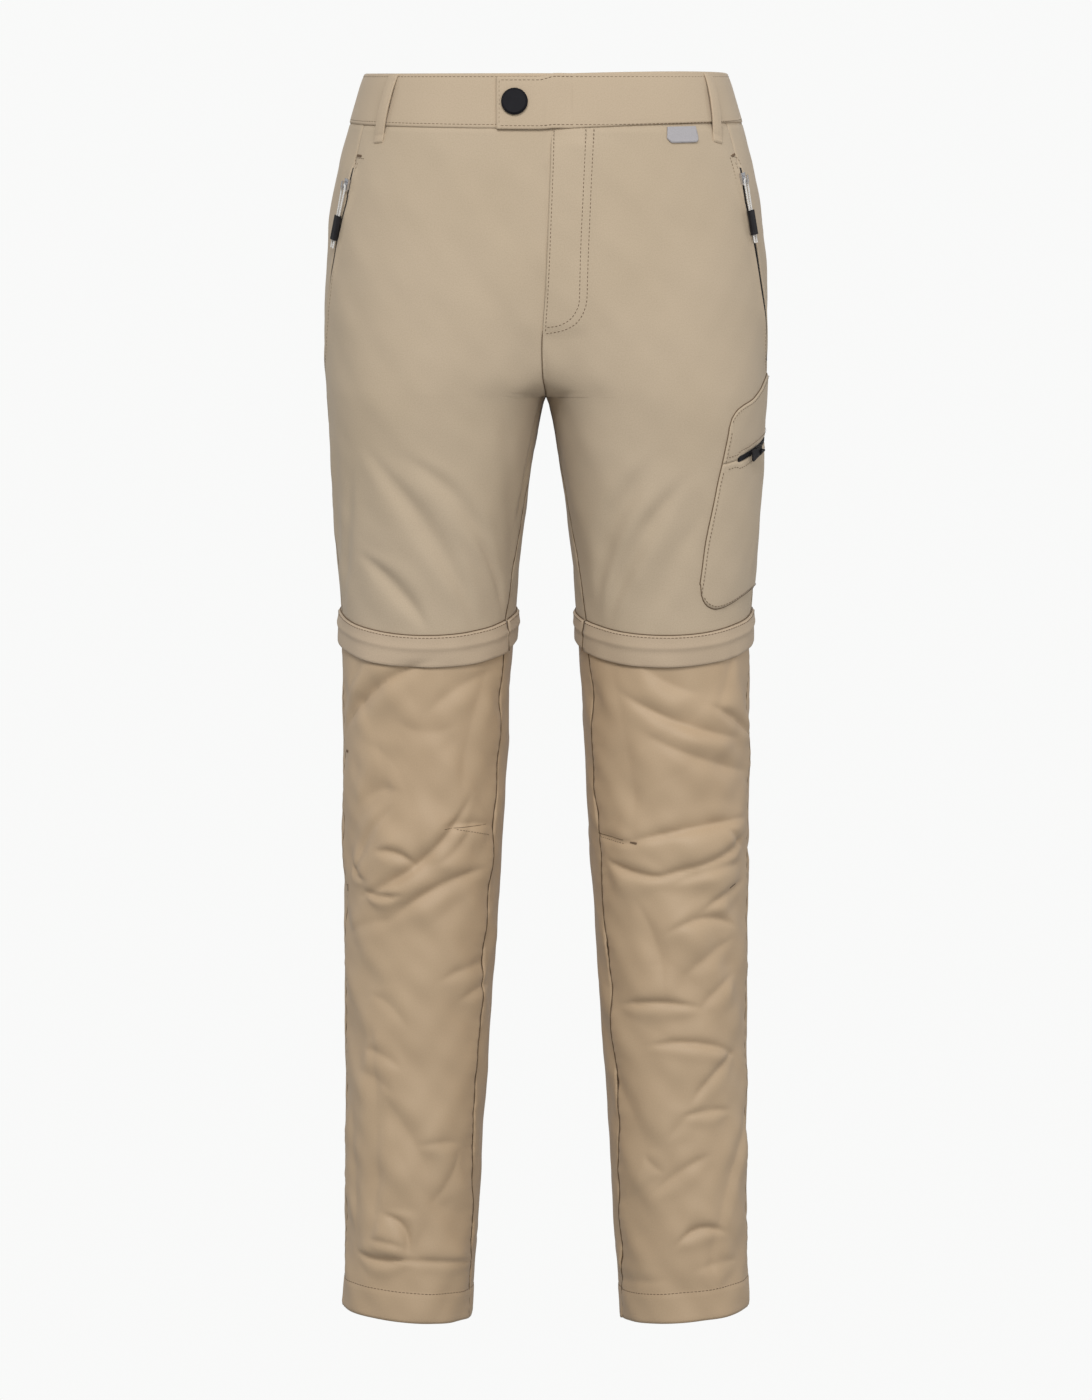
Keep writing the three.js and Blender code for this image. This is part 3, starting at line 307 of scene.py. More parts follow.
# Folds on the front, placed by pixels of the photograph. Each runs from its start to its end and bows to
# its left by so many millimetres. It has a hollow along the middle, whose width is sharp times the width,
# and a ridge to its left and to its right.
PIXEL_FOLD_COLUMNS = [
    "start_x", "start_y", "end_x", "end_y", "bow", "width", "hollow", "left", "right", "sharp",
]
PIXEL_FOLD_ROWS = [
    # right thigh
    [378, 462, 470, 606, 7, 13, 3.6, 1.2, 2.6, 0.8],
    [418, 462, 490, 552, 7, 11, 2.6, 1.0, 1.6, 0.8],
    [474, 532, 502, 604, 4, 8, 2.0, 1.2, 1.0, 0.5],
    [368, 556, 424, 620, 4, 11, 3.2, 1.6, 1.6, 0.7],
    [352, 480, 346, 600, 2, 10, 1.8, 1.4, 0.8, 0.8],
    [543, 394, 520, 506, 4, 7, 6.0, 0.4, 1.0, 0.9],
    [505, 420, 512, 560, 0, 12, 1.4, 0.2, 0.4, 1],
    [498, 300, 530, 380, -4, 20, 1.6, 0.2, 0.4, 1],
    # left thigh
    [644, 466, 600, 586, -6, 14, 3.4, 1.4, 1.8, 0.9],
    [676, 486, 612, 606, -6, 12, 3.2, 1.8, 1.8, 0.8],
    [696, 520, 650, 616, -4, 12, 1.7, 0.9, 0.9, 0.9],
    [600, 300, 566, 385, 4, 20, 1.4, 0.3, 0.3, 1],
    # right shin, above the knee
    [348, 722, 422, 660, 5, 12, 4.0, 3.0, 1.2, 0.45],
    [362, 700, 386, 792, 6, 20, 2.6, 0.4, 1.2, 1.2],
    [352, 690, 364, 660, 2, 7, 1.4, 0.6, 1.4, 0.6],
    [432, 706, 486, 670, 4, 11, 2.0, 1.6, 1.0, 0.7],
    [484, 676, 462, 782, -4, 13, 2.0, 1.0, 1.2, 0.9],
    [372, 742, 410, 800, 8, 14, 1.8, 0.8, 1.2, 0.9],
    [402, 722, 452, 724, -5, 10, 1.0, 0.7, 0.6, 0.8],
    # right knee
    [370, 890, 463, 808, -9, 12, 4.6, 3.6, 1.8, 0.45],
    [380, 848, 414, 861, 4, 8, 3.2, 2.6, 1.4, 0.45],
    [362, 800, 396, 788, 5, 13, 2.4, 1.6, 0.4, 0.9],
    [388, 808, 356, 872, -4, 8, 2.0, 2.2, 1.6, 0.6],
    [352, 858, 366, 878, -3, 6, 2.2, 1.4, 1.2, 0.45],
    [368, 890, 400, 893, -2, 6, 3.0, 2.2, 1.8, 0.4],
    [400, 910, 480, 867, 6, 10, 2.6, 2.2, 1.2, 0.5],
    [446, 824, 488, 822, 2, 8, 2.2, 1.0, 1.8, 0.4],
    [436, 862, 470, 826, -3, 8, 1.8, 1.0, 0.8, 0.6],
    # right shin, below the knee
    [352, 930, 386, 918, 2, 9, 1.2, 0.8, 0.6, 0.7],
    [388, 918, 448, 884, 3, 11, 1.8, 1.2, 0.8, 0.7],
    [444, 977, 486, 960, 3, 9, 2.0, 1.2, 0.9, 0.55],
    [462, 998, 488, 980, 2, 8, 1.6, 1.0, 0.8, 0.55],
    [372, 994, 404, 1022, 4, 10, 1.6, 0.7, 0.9, 0.7],
    [366, 1048, 398, 1066, 3, 9, 1.8, 0.9, 1.0, 0.6],
    [360, 1070, 392, 1092, 3, 10, 1.2, 0.7, 0.7, 0.8],
    [384, 1098, 434, 1200, 6, 13, 1.6, 0.8, 1.0, 0.8],
    [420, 1146, 458, 1144, 2, 7, 1.3, 0.9, 0.8, 0.5],
    [458, 1156, 434, 1202, 3, 9, 1.4, 0.7, 0.7, 0.6],
    [372, 1040, 372, 1240, 4, 12, 1.8, 1.8, 1.6, 0.7],
    [352, 1110, 356, 1230, -2, 9, 1.4, 0.6, 1.2, 0.8],
    [386, 1216, 407, 1252, 7, 8, 2.6, 1.6, 1.8, 0.5],
    [360, 1256, 404, 1263, -2, 8, 3.2, 3.0, 1.6, 0.42],
    [400, 1263, 470, 1263, 1, 6, 2.0, 1.5, 0.8, 0.4],
    [372, 1242, 402, 1250, 2, 6, 1.8, 1.4, 1.2, 0.5],
    # left shin, above the knee
    [644, 664, 694, 690, -3, 11, 2.2, 0.9, 1.3, 0.6],
    [630, 696, 730, 734, -4, 12, 3.6, 1.2, 3.0, 0.5],
    [654, 736, 742, 767, -4, 12, 2.6, 1.4, 1.8, 0.6],
    [714, 704, 748, 732, 0, 8, 2.8, 2.6, 1.4, 0.45],
    [730, 650, 716, 706, 3, 10, 1.6, 1.6, 0.9, 0.8],
    [612, 668, 634, 830, 5, 14, 1.5, 0.9, 0.6, 1],
    # left knee
    [632, 839, 740, 815, 3, 10, 3.4, 1.2, 2.8, 0.45],
    [724, 824, 742, 842, -1, 7, 2.2, 1.6, 1.2, 0.45],
    [612, 860, 660, 875, -2, 8, 3.0, 2.0, 2.4, 0.42],
    [656, 875, 740, 836, -3, 10, 3.6, 2.8, 2.6, 0.45],
    [680, 879, 738, 860, 3, 9, 2.4, 1.4, 1.4, 0.55],
    [706, 906, 742, 880, 3, 8, 2.6, 1.8, 1.2, 0.5],
    [598, 832, 634, 842, 1, 7, 1.8, 0.8, 1.6, 0.4],
    # left shin, below the knee
    [640, 906, 664, 990, 5, 12, 2.2, 1.8, 0.8, 0.7],
    [672, 928, 732, 922, 8, 9, 2.4, 1.4, 1.4, 0.5],
    [626, 1003, 694, 1005, 3, 8, 2.8, 2.2, 1.8, 0.42],
    [704, 1004, 732, 974, 2, 9, 2.0, 1.2, 1.0, 0.5],
    [688, 972, 730, 938, 2, 9, 1.6, 1.0, 0.8, 0.6],
    [656, 1044, 732, 1052, 6, 8, 2.6, 2.0, 1.6, 0.42],
    [694, 1100, 732, 1054, 3, 9, 2.4, 1.4, 1.2, 0.5],
    [686, 1116, 728, 1110, 2, 7, 2.0, 1.3, 1.2, 0.45],
    [670, 1138, 692, 1114, 1, 8, 1.4, 0.8, 0.7, 0.7],
    [646, 1158, 662, 1173, -1, 8, 1.6, 0.8, 1.0, 0.6],
    [656, 1194, 706, 1158, 3, 9, 2.2, 1.5, 1.3, 0.5],
    [745, 1116, 712, 1262, -7, 12, 1.4, 3.2, 1.0, 0.6],
    [680, 1244, 722, 1232, 7, 8, 2.8, 2.0, 1.8, 0.42],
    [712, 1262, 716, 1290, 0, 7, 1.2, 1.0, 0.8, 0.6],
    [618, 1277, 660, 1284, -1, 9, 1.4, 0.8, 0.8, 0.6],
    [700, 1272, 736, 1262, 2, 8, 1.4, 1.0, 0.8, 0.6],
]

# Folds on the sides and back, placed by millimetres ahead of the side extreme and by height.
HIDDEN_FOLD_COLUMNS = [
    "side", "start_a", "start_z", "end_a", "end_z", "bow", "width", "hollow", "left", "right", "sharp",
]
HIDDEN_FOLD_ROWS = [
    # seat and back of the thighs
    [-1, -150, -170, -262, -236, 10, 20, 2.6, 1.4, 1.2, 0.8],
    [1, -146, -176, -262, -240, -10, 20, 2.6, 1.4, 1.2, 0.8],
    [-1, -120, -262, -262, -276, 8, 18, 3.0, 1.6, 1.4, 0.6],
    [1, -116, -268, -262, -280, -8, 18, 3.0, 1.6, 1.4, 0.6],
    [-1, -60, -300, -190, -350, 8, 18, 2.4, 1.2, 1.2, 0.7],
    [1, -80, -296, -196, -342, -8, 18, 2.2, 1.0, 1.2, 0.7],
    [-1, -70, -370, -150, -430, 4, 14, 1.8, 0.8, 0.8, 0.7],
    [1, -78, -374, -160, -424, -4, 14, 1.8, 0.8, 0.8, 0.7],
    [-1, -20, -120, -60, -230, 4, 16, 1.2, 0.5, 0.5, 1],
    [1, -24, -110, -52, -224, -4, 16, 1.2, 0.5, 0.5, 1],
    # sides of the thighs
    [-1, 10, -250, -28, -420, 4, 16, 1.6, 0.8, 0.8, 0.9],
    [-1, 44, -300, 4, -432, 4, 14, 1.4, 0.7, 0.7, 0.9],
    # sides and back of the shins
    [-1, -18, -500, -96, -556, 6, 12, 2.8, 2.0, 1.4, 0.55],
    [1, -12, -506, -88, -560, -6, 12, 2.8, 2.0, 1.4, 0.55],
    [-1, -60, -560, -190, -598, 8, 13, 3.6, 2.6, 1.8, 0.5],
    [1, -48, -572, -186, -600, -8, 13, 3.6, 2.6, 1.8, 0.5],
    [-1, -80, -606, -200, -630, 8, 12, 3.4, 2.4, 1.8, 0.5],
    [1, -86, -614, -204, -646, -8, 12, 3.4, 2.4, 1.8, 0.5],
    [-1, 14, -596, -60, -640, 5, 12, 2.8, 2.0, 1.6, 0.5],
    [1, 18, -640, -56, -668, -5, 12, 2.8, 2.0, 1.6, 0.5],
    [-1, -30, -660, -150, -700, 8, 14, 2.6, 1.8, 1.4, 0.6],
    [1, -24, -700, -160, -716, -6, 13, 2.4, 1.6, 1.4, 0.6],
    [-1, 6, -724, -70, -776, 6, 13, 2.0, 1.2, 1.2, 0.7],
    [1, 12, -742, -80, -800, -5, 13, 2.0, 1.2, 1.2, 0.7],
    [-1, -90, -780, -190, -760, 6, 13, 2.0, 1.2, 1.0, 0.7],
    [1, -100, -830, -196, -806, -6, 13, 2.0, 1.2, 1.0, 0.7],
    [-1, -10, -820, -120, -862, 6, 14, 2.2, 1.4, 1.2, 0.6],
    [1, -6, -850, -110, -900, -6, 13, 2.2, 1.4, 1.2, 0.6],
    [-1, -60, -900, -180, -920, 6, 13, 2.2, 1.4, 1.2, 0.6],
    [1, -70, -946, -186, -930, -6, 13, 2.2, 1.4, 1.2, 0.6],
    [-1, 10, -940, -90, -984, 5, 10, 2.6, 1.8, 1.6, 0.5],
    [1, 6, -972, -96, -992, -5, 10, 2.6, 1.8, 1.6, 0.5],
    [-1, -100, -978, -196, -990, 3, 9, 2.4, 1.6, 1.4, 0.5],
    [1, -104, -984, -190, -996, -3, 9, 2.4, 1.6, 1.4, 0.5],
]


def all_folds():
    folds = []
    for row in PIXEL_FOLD_ROWS:
        fold = dict(zip(PIXEL_FOLD_COLUMNS, row))
        side, a0, z0 = from_pixel(fold["start_x"], fold["start_y"])
        _, a1, z1 = from_pixel(fold["end_x"], fold["end_y"])
        folds.append(dict(fold, side=side, start_a=a0, start_z=z0, end_a=a1, end_z=z1))
    for row in HIDDEN_FOLD_ROWS:
        folds.append(dict(zip(HIDDEN_FOLD_COLUMNS, row)))
    return folds


FOLDS = all_folds()

# A fold's reach in widths, and how its ridges and hollow are shaped. The higher ridge falls away
# slowly on its far side, and the hollow has a sharper bottom on the lower legs.
FOLD_REACH = 4.0
RIDGE_OUT, RIDGE_TAIL, LONG_TAIL, RIDGE_GAIN = 1.05, 0.95, 1.8, 1.15
DEEP_HOLLOW, DEEP_GAIN, SHALLOW_GAIN = 2.3, 1.2, 0.9
SOFT_POWER, CRISP_POWER = 2.0, 1.2


def add_fold(height, fold, u, z, allowed):
    u0, u1 = -fold["side"] * fold["start_a"], -fold["side"] * fold["end_a"]
    z0, z1, width = fold["start_z"], fold["end_z"], fold["width"]
    margin = FOLD_REACH * width + abs(fold["bow"])
    near = allowed & (u > min(u0, u1) - margin) & (u < max(u0, u1) + margin)
    near &= (z > min(z0, z1) - margin) & (z < max(z0, z1) + margin)
    if not near.any():
        return
    du, dz = u1 - u0, z1 - z0
    length = math.hypot(du, dz)
    pu, pz = u[near] - u0, z[near] - z0
    t = (pu * du + pz * dz) / length**2
    off = (pz * du - pu * dz) / length - fold["bow"] * 4 * t * (1 - t)
    w = width * (0.55 + 0.45 * np.sin(np.pi * np.clip(t, 0, 1)))
    crisp = mix(SOFT_POWER, CRISP_POWER, smooth(KNEE_Z, KNEE_Z - 20, z[near]))
    deep = fold["hollow"] * (DEEP_GAIN if fold["hollow"] > DEEP_HOLLOW else SHALLOW_GAIN)
    form = -deep * np.exp(-(np.abs(off / (fold["sharp"] * w)) ** crisp))
    left_higher = fold["left"] > fold["right"]
    for ridge, beyond, higher in (
        (fold["left"], off - RIDGE_OUT * w, left_higher),
        (fold["right"], -off - RIDGE_OUT * w, not left_higher),
    ):
        tail = w * np.where(higher & (beyond > 0), LONG_TAIL, RIDGE_TAIL)
        form += RIDGE_GAIN * ridge * bell(beyond, tail)
    height[near] += smooth(-0.2, 0.34, t) * (1 - smooth(0.66, 1.2, t)) * form


# Near the outline of the legs seen from the front, where folds and ripples are held back.
EDGE_WIDTH, EDGE_HOLD_FOLD, EDGE_HOLD_RIPPLE = 13, 0.55, 0.7


def around_edge(a, z):
    inner_side = np.abs(a) - LEVELS.round(z) / 2
    return bell(a, EDGE_WIDTH) + bell(inner_side, EDGE_WIDTH) * (z < CROTCH_Z)


# On the legs a place has a second position, one turn further round.
def fold_height(side, a, z):
    height = np.zeros_like(a)
    on_leg = z < CROTCH_Z
    for turn, allowed in ((0, np.ones_like(on_leg)), (1, on_leg)):
        if allowed.any():
            u = -side * (a + turn * LEVELS.round(z))
            for fold in FOLDS:
                if fold["side"] == side:
                    add_fold(height, fold, u, z, allowed)
    return height * (1 - EDGE_HOLD_FOLD * around_edge(a, z))


# Slow uneven ripples that cloth never lacks: wave lengths ahead and up, phase and height.
RIPPLE_ROWS = [
    [95, 140, 0.4, 0.55], [61, -88, 1.9, 0.4], [-43, 70, 3.1, 0.3], [34, 47, 5.0, 0.18],
    [-27, 33, 2.2, 0.12], [150, -60, 4.2, 0.35], [-80, 29, 0.9, 0.12],
]
RIPPLE_UPPER, RIPPLE_LOWER = 0.55, 1.35

# Creases between soft swells, on the lower legs only: wave lengths ahead and up, bend and height.
CREASE_ROWS = [[82, -96, 47, 1.1], [-58, -74, 33, 0.6], [44, 61, 29, 0.25]]
CREASE_LEVEL = 0.64


# How much of the lower leg's crispness a height has.
def lower_leg(z):
    return smooth(-470, -520, z)


def ripple(side, a, z):
    total, crease, low = np.zeros_like(a), np.zeros_like(a), lower_leg(z)
    for wave_a, wave_z, phase, height in RIPPLE_ROWS:
        total += height * np.sin(2 * np.pi * (side * a / wave_a + z / wave_z) + phase + side)
    for wave_a, wave_z, bend, height in CREASE_ROWS:
        along = side * a / wave_a + z / wave_z
        along += 0.35 * np.sin(z / bend + side) + 0.2 * np.sin(a / 31 - z / 70)
        patch = 0.5 + 0.5 * np.sin(a / 37 + z / (1.7 * bend) + 2 * side)
        crease += height * patch**2 * (np.abs(np.sin(np.pi * along)) - CREASE_LEVEL)
    rise = total * mix(RIPPLE_UPPER, RIPPLE_LOWER, low) + crease * low
    return rise * smooth(0, -60, z) * (1 - EDGE_HOLD_RIPPLE * around_edge(a, z) * low)


# Points of the cloth, out from its middle surface. Where side is an array, they lie on both halves.
def surface(side, a, z, out):
    if isinstance(side, np.ndarray):
        side, a, z, out = np.broadcast_arrays(side, a, z, out)
        return np.where((side > 0)[..., None], surface(1, a, z, out), surface(-1, a, z, out))
    a, z, out = np.broadcast_arrays(*(np.asarray(values, float) for values in (a, z, out)))
    x, y, normal = spot(a, z)
    rise = out + fold_height(side, a, z) + ripple(side, a, z)
    px = np.maximum(x + normal[..., 0] * rise, MIDDLE)
    return np.stack([side * px, y + normal[..., 1] * rise, z + normal[..., 2] * rise], axis=-1) * MM


OUT_STEP = 2.0


# Points along a line on the cloth, with the directions along it, across it and out of the cloth.
def line_frames(side, a, z, lift, on_middle=False):
    points, above = surface(side, a, z, lift), surface(side, a, z, lift + OUT_STEP)
    if on_middle:
        points[:, 0] = above[:, 0] = 0
    out, along = unit(above - points), unit(np.gradient(points, axis=0))
    return points, along, np.cross(out, along), out


def band_top(a):
    return WAIST_TOP + WAIST_TOP_TILT * LEVELS.point(a, WAIST_TOP)[1]


def band_seam(a):
    return WAIST_SEAM + WAIST_SEAM_TILT * LEVELS.point(a, WAIST_SEAM)[1]


def flap_top(a):
    y = LEVELS.point(a, KNEE_Z)[1]
    return KNEE_SIDE - KNEE_DIP * np.clip(-y / 85, 0, 1) ** 1.2 + KNEE_RISE * np.clip(y / 75, 0, 1)


def hem_z(a):
    return HEM_Z - HEM_SLOPE * (HEM_OUTER_X - LEVELS.point(a, HEM_Z)[0])


# The left front's fly edge, in millimetres past the centre front, by height.
CENTRE_LINE = curve_through(
    [CROTCH_Z, -240, -215, -197, -175, -118, -33, -10], [0, -2.4, -3.3, -2.4, -0.8, 1.6, 4.3, 4.4]
)


def fly_edge(z):
    return CENTRE_LINE(z) * smooth(CROTCH_Z - 0.1, CROTCH_Z + 3.5, z)


# Places past the centre front belong to the other half.
def fold_over(side, a, z):
    middle = LEVELS.mark(0, z)
    over = (a > middle) & (z > CROTCH_Z)
    return np.where(over, -side, side), np.where(over, 2 * middle - a, a)


# The sewn seams wander and pucker a little.
def wander(side, z, seam):
    waves = 1.3 * np.sin(z / 19 + seam + side) + 0.9 * np.sin(z / 8.7 + 2.1 * seam * side)
    return lower_leg(z) * waves * 0.8


def pucker(side, distance, z, seam):
    beat = np.sin(z / 1.9 + 2.2 * np.sin(z / 13.0 + seam) + side)
    return 0.28 * beat * np.exp(-distance / 6.5) * mix(0.5, 1.0, smooth(-440, -500, z))


def edge_dip(distance, depth=0.85, width=1.15):
    return -depth * bell(distance, width)


# Columns close together at a panel's two edges and even between them.
NEAR_EDGE = np.array([0, 0.4, 0.9, 1.5, 2.4, 3.6])


def shares(count):
    return np.linspace(0, 1, count + 2 * len(NEAR_EDGE) - 2)[None, :]


def spread(start, end, count):
    first, last = start - NEAR_EDGE[-1], end + NEAR_EDGE[-1]
    columns = [start - n for n in NEAR_EDGE]
    columns += [mix(first, last, q) for q in np.linspace(0, 1, count)[1:-1]]
    columns += [end + n for n in NEAR_EDGE[::-1]]
    return np.stack([column[:, i] for i, column in enumerate(columns)], axis=1)


# The meshes.

def make_object(name, points, faces, uv):
    mesh = bpy.data.meshes.new(name)
    mesh.vertices.add(len(points))
    mesh.vertices.foreach_set("co", np.asarray(points, np.float32).ravel())
    sizes, flat = np.array([len(face) for face in faces]), np.concatenate(faces)
    mesh.loops.add(len(flat))
    mesh.loops.foreach_set("vertex_index", flat.astype(np.int32))
    mesh.polygons.add(len(sizes))
    starts = np.concatenate([[0], np.cumsum(sizes)[:-1]])
    mesh.polygons.foreach_set("loop_start", starts.astype(np.int32))
    mesh.polygons.foreach_set("loop_total", sizes.astype(np.int32))
    mesh.update(calc_edges=True)
    mesh.validate()
    layer = mesh.uv_layers.new(name="cloth")
    layer.data.foreach_set("uv", np.asarray(uv, np.float32)[flat].ravel())
    mesh.polygons.foreach_set("use_smooth", np.ones(len(mesh.polygons), bool))
    piece = bpy.data.objects.new(name, mesh)
    bpy.context.scene.collection.objects.link(piece)
    return piece


# Faces of a grid, of the same grid behind it and of the rim that joins the two.
def shell_faces(rows, width):
    index = np.arange(rows * width).reshape(rows, width)
    corners = [index[:-1, :-1], index[:-1, 1:], index[1:, 1:], index[1:, :-1]]
    quads = np.stack(corners, axis=-1).reshape(-1, 4)
    inner = quads[:, ::-1] + rows * width
    rim = np.concatenate([index[0, :], index[1:, -1], index[-1, -2::-1], index[-2:0:-1, 0]])
    after = np.roll(rim, -1)
    edge = np.stack([after, rim, rim + rows * width, after + rows * width], axis=-1)
    return np.concatenate([quads, inner, edge])


# A closed thin sheet of cloth from grids of side, ahead, height and lift that stands for a CAD node.
# Rows run down and columns across.
def sheet(name, node, grid, wall, material):
    side, a, z, lift = grid
    outer, inner = surface(side, a, z, lift), surface(side, a, z, lift - wall)
    rows, width = outer.shape[:2]
    faces = shell_faces(rows, width)
    row, column = rows // 2, width // 2
    across = outer[row, min(column + 1, width - 1)] - outer[row, column]
    down = outer[min(row + 1, rows - 1), column] - outer[row, column]
    if np.dot(np.cross(down, across), outer[row, column] - inner[row, column]) < 0:
        faces = faces[:, ::-1]
    uv = np.stack([np.broadcast_to(a * np.sign(side), z.shape), z], axis=-1).reshape(-1, 2) * MM
    points = np.concatenate([outer.reshape(-1, 3), inner.reshape(-1, 3)])
    piece = make_object(name, points, faces, np.concatenate([uv, uv]))
    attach(piece, "trousers")
    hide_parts(node)
    piece.data.materials.append(material)


# The materials: every cloth has a fine plain weave on its own cloth coordinates and slow uneven tone.

BUMP_DEPTH = 0.0002


class Shader:
    def __init__(self, name, roughness, metallic=0.0, specular=0.5, sheen=0.0):
        self.material = bpy.data.materials.new(name)
        self.material.use_nodes = True
        self.nodes, self.links = self.material.node_tree.nodes, self.material.node_tree.links
        self.principled = self.nodes["Principled BSDF"]
        for socket, value in (
            ("Roughness", roughness), ("Metallic", metallic), ("Specular IOR Level", specular),
            ("Sheen Weight", sheen), ("Sheen Roughness", 0.5),
        ):
            self.principled.inputs[socket].default_value = value

    def node(self, kind, values=None, **wires):
        node = self.nodes.new("ShaderNode" + kind)
        for socket, value in (values or {}).items():
            node.inputs[socket].default_value = value
        for socket, wire in wires.items():
            self.links.new(wire, node.inputs[socket])
        return node

    def place(self):
        return self.node("TexCoord").outputs["Object"]

    def noise(self, vector, scale, detail=2.0):
        return self.node("TexNoise", {"Scale": scale, "Detail": detail}, Vector=vector).outputs["Fac"]

    def wave(self, vector, direction, scale):
        node = self.node("TexWave", {"Scale": scale, "Distortion": 0.4, "Detail": 1.0}, Vector=vector)
        node.bands_direction = direction
        return node.outputs["Fac"]

    def ramp(self, value, stops):
        node = self.node("ValToRGB", Fac=value)
        for element, (at, colour) in zip(node.color_ramp.elements, stops):
            element.position, element.color = at, colour
        return node.outputs["Color"]

    def maths(self, operation, *values):
        node = self.node("Math")
        node.operation = operation
        for socket, value in zip(node.inputs, values):
            if isinstance(value, float):
                socket.default_value = value
            else:
                self.links.new(value, socket)
        return node.outputs["Value"]

    def multiply(self, factor, first, second):
        node = self.node("Mix")
        node.data_type, node.blend_type = "RGBA", "MULTIPLY"
        node.inputs[0].default_value = factor
        self.links.new(first, node.inputs[6])
        self.links.new(second, node.inputs[7])
        return node.outputs[2]

    def colour(self, value):
        self.links.new(value, self.principled.inputs["Base Color"])

    def vary_roughness(self, value, low, high):
        node = self.node("MapRange", {"To Min": low, "To Max": high}, Value=value)
        self.links.new(node.outputs["Result"], self.principled.inputs["Roughness"])

    def bump(self, height, strength, depth=BUMP_DEPTH):
        node = self.node("Bump", {"Strength": strength, "Distance": depth}, Height=height)
        self.links.new(node.outputs["Normal"], self.principled.inputs["Normal"])


def linear(colour):
    return [((c / 255 + 0.055) / 1.055) ** 2.4 for c in colour] + [1.0]


THREADS_PER_METRE, WARP_RATIO = 420, 1.15
LIT, SHADED = [1.0, 1.0, 1.0, 1.0], [0.86, 0.85, 0.83, 1.0]
WEAVE_SHADE = 0.55


def cloth_material(name, tone, deep, roughness, sheen, bump, cloudy, specular=0.35):
    shader = Shader(name, roughness, specular=specular, sheen=sheen)
    uv = shader.node("UVMap")
    uv.uv_map = "cloth"
    cloth = uv.outputs["UV"]
    weft = shader.wave(cloth, "Y", THREADS_PER_METRE)
    warp = shader.wave(cloth, "X", THREADS_PER_METRE * WARP_RATIO)
    weave = shader.maths("MAXIMUM", weft, warp)
    slow, fine = shader.noise(shader.place(), 7.0, 3.0), shader.noise(cloth, 900.0)
    tones = shader.ramp(slow, [(0.28, linear(deep)), (0.72, linear(tone))])
    threads = shader.ramp(weave, [(0.1, SHADED), (0.75, LIT)])
    flecks = shader.ramp(fine, [(0.35, SHADED), (0.6, LIT)])
    shader.colour(shader.multiply(cloudy, shader.multiply(WEAVE_SHADE, tones, threads), flecks))
    shader.vary_roughness(fine, roughness - 0.06, roughness + 0.06)
    raised = shader.maths("MULTIPLY", weave, 0.6), shader.maths("MULTIPLY", fine, 0.4)
    shader.bump(shader.maths("ADD", *raised), bump)
    return shader.material


def moulded_material(name, tone, deep, roughness, scale, bump=0.2, metallic=0.0, specular=0.5):
    shader = Shader(name, roughness, metallic, specular)
    where = shader.place()
    grain, slow = shader.noise(where, scale, 4.0), shader.noise(where, scale / 9)
    shader.colour(shader.ramp(slow, [(0.3, linear(deep)), (0.7, linear(tone))]))
    shader.vary_roughness(grain, max(roughness - 0.1, 0.05), roughness + 0.1)
    shader.bump(grain, bump)
    return shader.material


def braid_material():
    shader = Shader("braided_cord", 0.72, sheen=0.3)
    where = shader.place()
    strands, grain = shader.wave(where, "DIAGONAL", 420.0), shader.noise(where, 1800.0)
    tones = [(0.2, linear((196, 194, 190))), (0.7, linear((236, 234, 230)))]
    shader.colour(shader.ramp(strands, tones))
    shader.bump(shader.maths("ADD", strands, grain), 0.7, 1.5 * BUMP_DEPTH)
    return shader.material


# Names, light and deep tones, roughness, sheen, bump, share of flecks and specular level.
UPPER = cloth_material("stretch_cloth", (196, 178, 154), (190, 172, 147), 0.86, 0.12, 0.35, 0.5)
BAND = cloth_material("band_cloth", (198, 179, 154), (191, 172, 147), 0.84, 0.12, 0.4, 0.5)
LOWER = cloth_material("crisp_cloth", (195, 170, 139), (189, 163, 132), 0.56, 0.08, 0.25, 0.35, 0.42)
FLAP = cloth_material("flap_cloth", (194, 174, 150), (188, 168, 143), 0.8, 0.12, 0.35, 0.5)
LABEL_CLOTH = cloth_material("label_cloth", (184, 181, 184), (174, 171, 174), 0.7, 0.15, 0.6, 0.7)
# Thread: its own colour, darkened with painted shade of the holes that the stitches sink into.
THREAD_AND_HOLE_SHADE = cloth_material("thread_and_hole_shade", (120, 98, 76), (108, 88, 68), 0.7, 0.1, 0.3, 0.6)
# A dark brown for the seam cords: painted shade of the creases and gaps at the seams.
SEAM_SHADE_LINE = cloth_material("seam_shade_line", (118, 98, 77), (106, 88, 68), 0.9, 0.0, 0.3, 0.6)
ZIP_TAPE = cloth_material("zip_tape", (44, 43, 46), (34, 33, 36), 0.8, 0.1, 0.6, 0.8)

# Names, light and deep tones, roughness, grain, bump, metal and specular level.
COIL = moulded_material("zip_coil", (34, 33, 36), (24, 23, 26), 0.5, 2600.0, specular=0.25)
METAL = moulded_material("bright_metal", (214, 214, 218), (196, 196, 200), 0.24, 900.0, 0.1, 1.0)
GRIP = moulded_material("soft_grip", (36, 35, 37), (28, 27, 29), 0.55, 2200.0, 0.3, specular=0.2)
BUTTON = moulded_material("satin_button", (24, 23, 28), (20, 19, 24), 0.55, 1500.0, 0.12, specular=0.16)
BRAID = braid_material()


# The panels.

SIDES = (("right", -1), ("left", 1))
PANEL_WALL = 1.0
UNDER_BAND, UNDER_BAND_DROP = 3.5, 1.1


# How far a pocket edge stands over the zip below it.
def lip(z, distance):
    along = smooth(-240, -214, z) * (1 - smooth(-66, -58, z))
    return 1.5 * along * bell(distance, 5.5)


# Shares down a thigh panel, 1 at the crotch and 2 at the knee, and closer together at the crotch.
def thigh_rows(rise_count, leg_count):
    at_crotch = np.concatenate([1 - 0.00105 * np.arange(1, 9), 1 + 0.0009 * np.arange(1, 5)])
    rows = [np.linspace(0, 1, rise_count), np.linspace(1, 2, leg_count)[1:], at_crotch]
    return np.sort(np.concatenate(rows))[:, None]


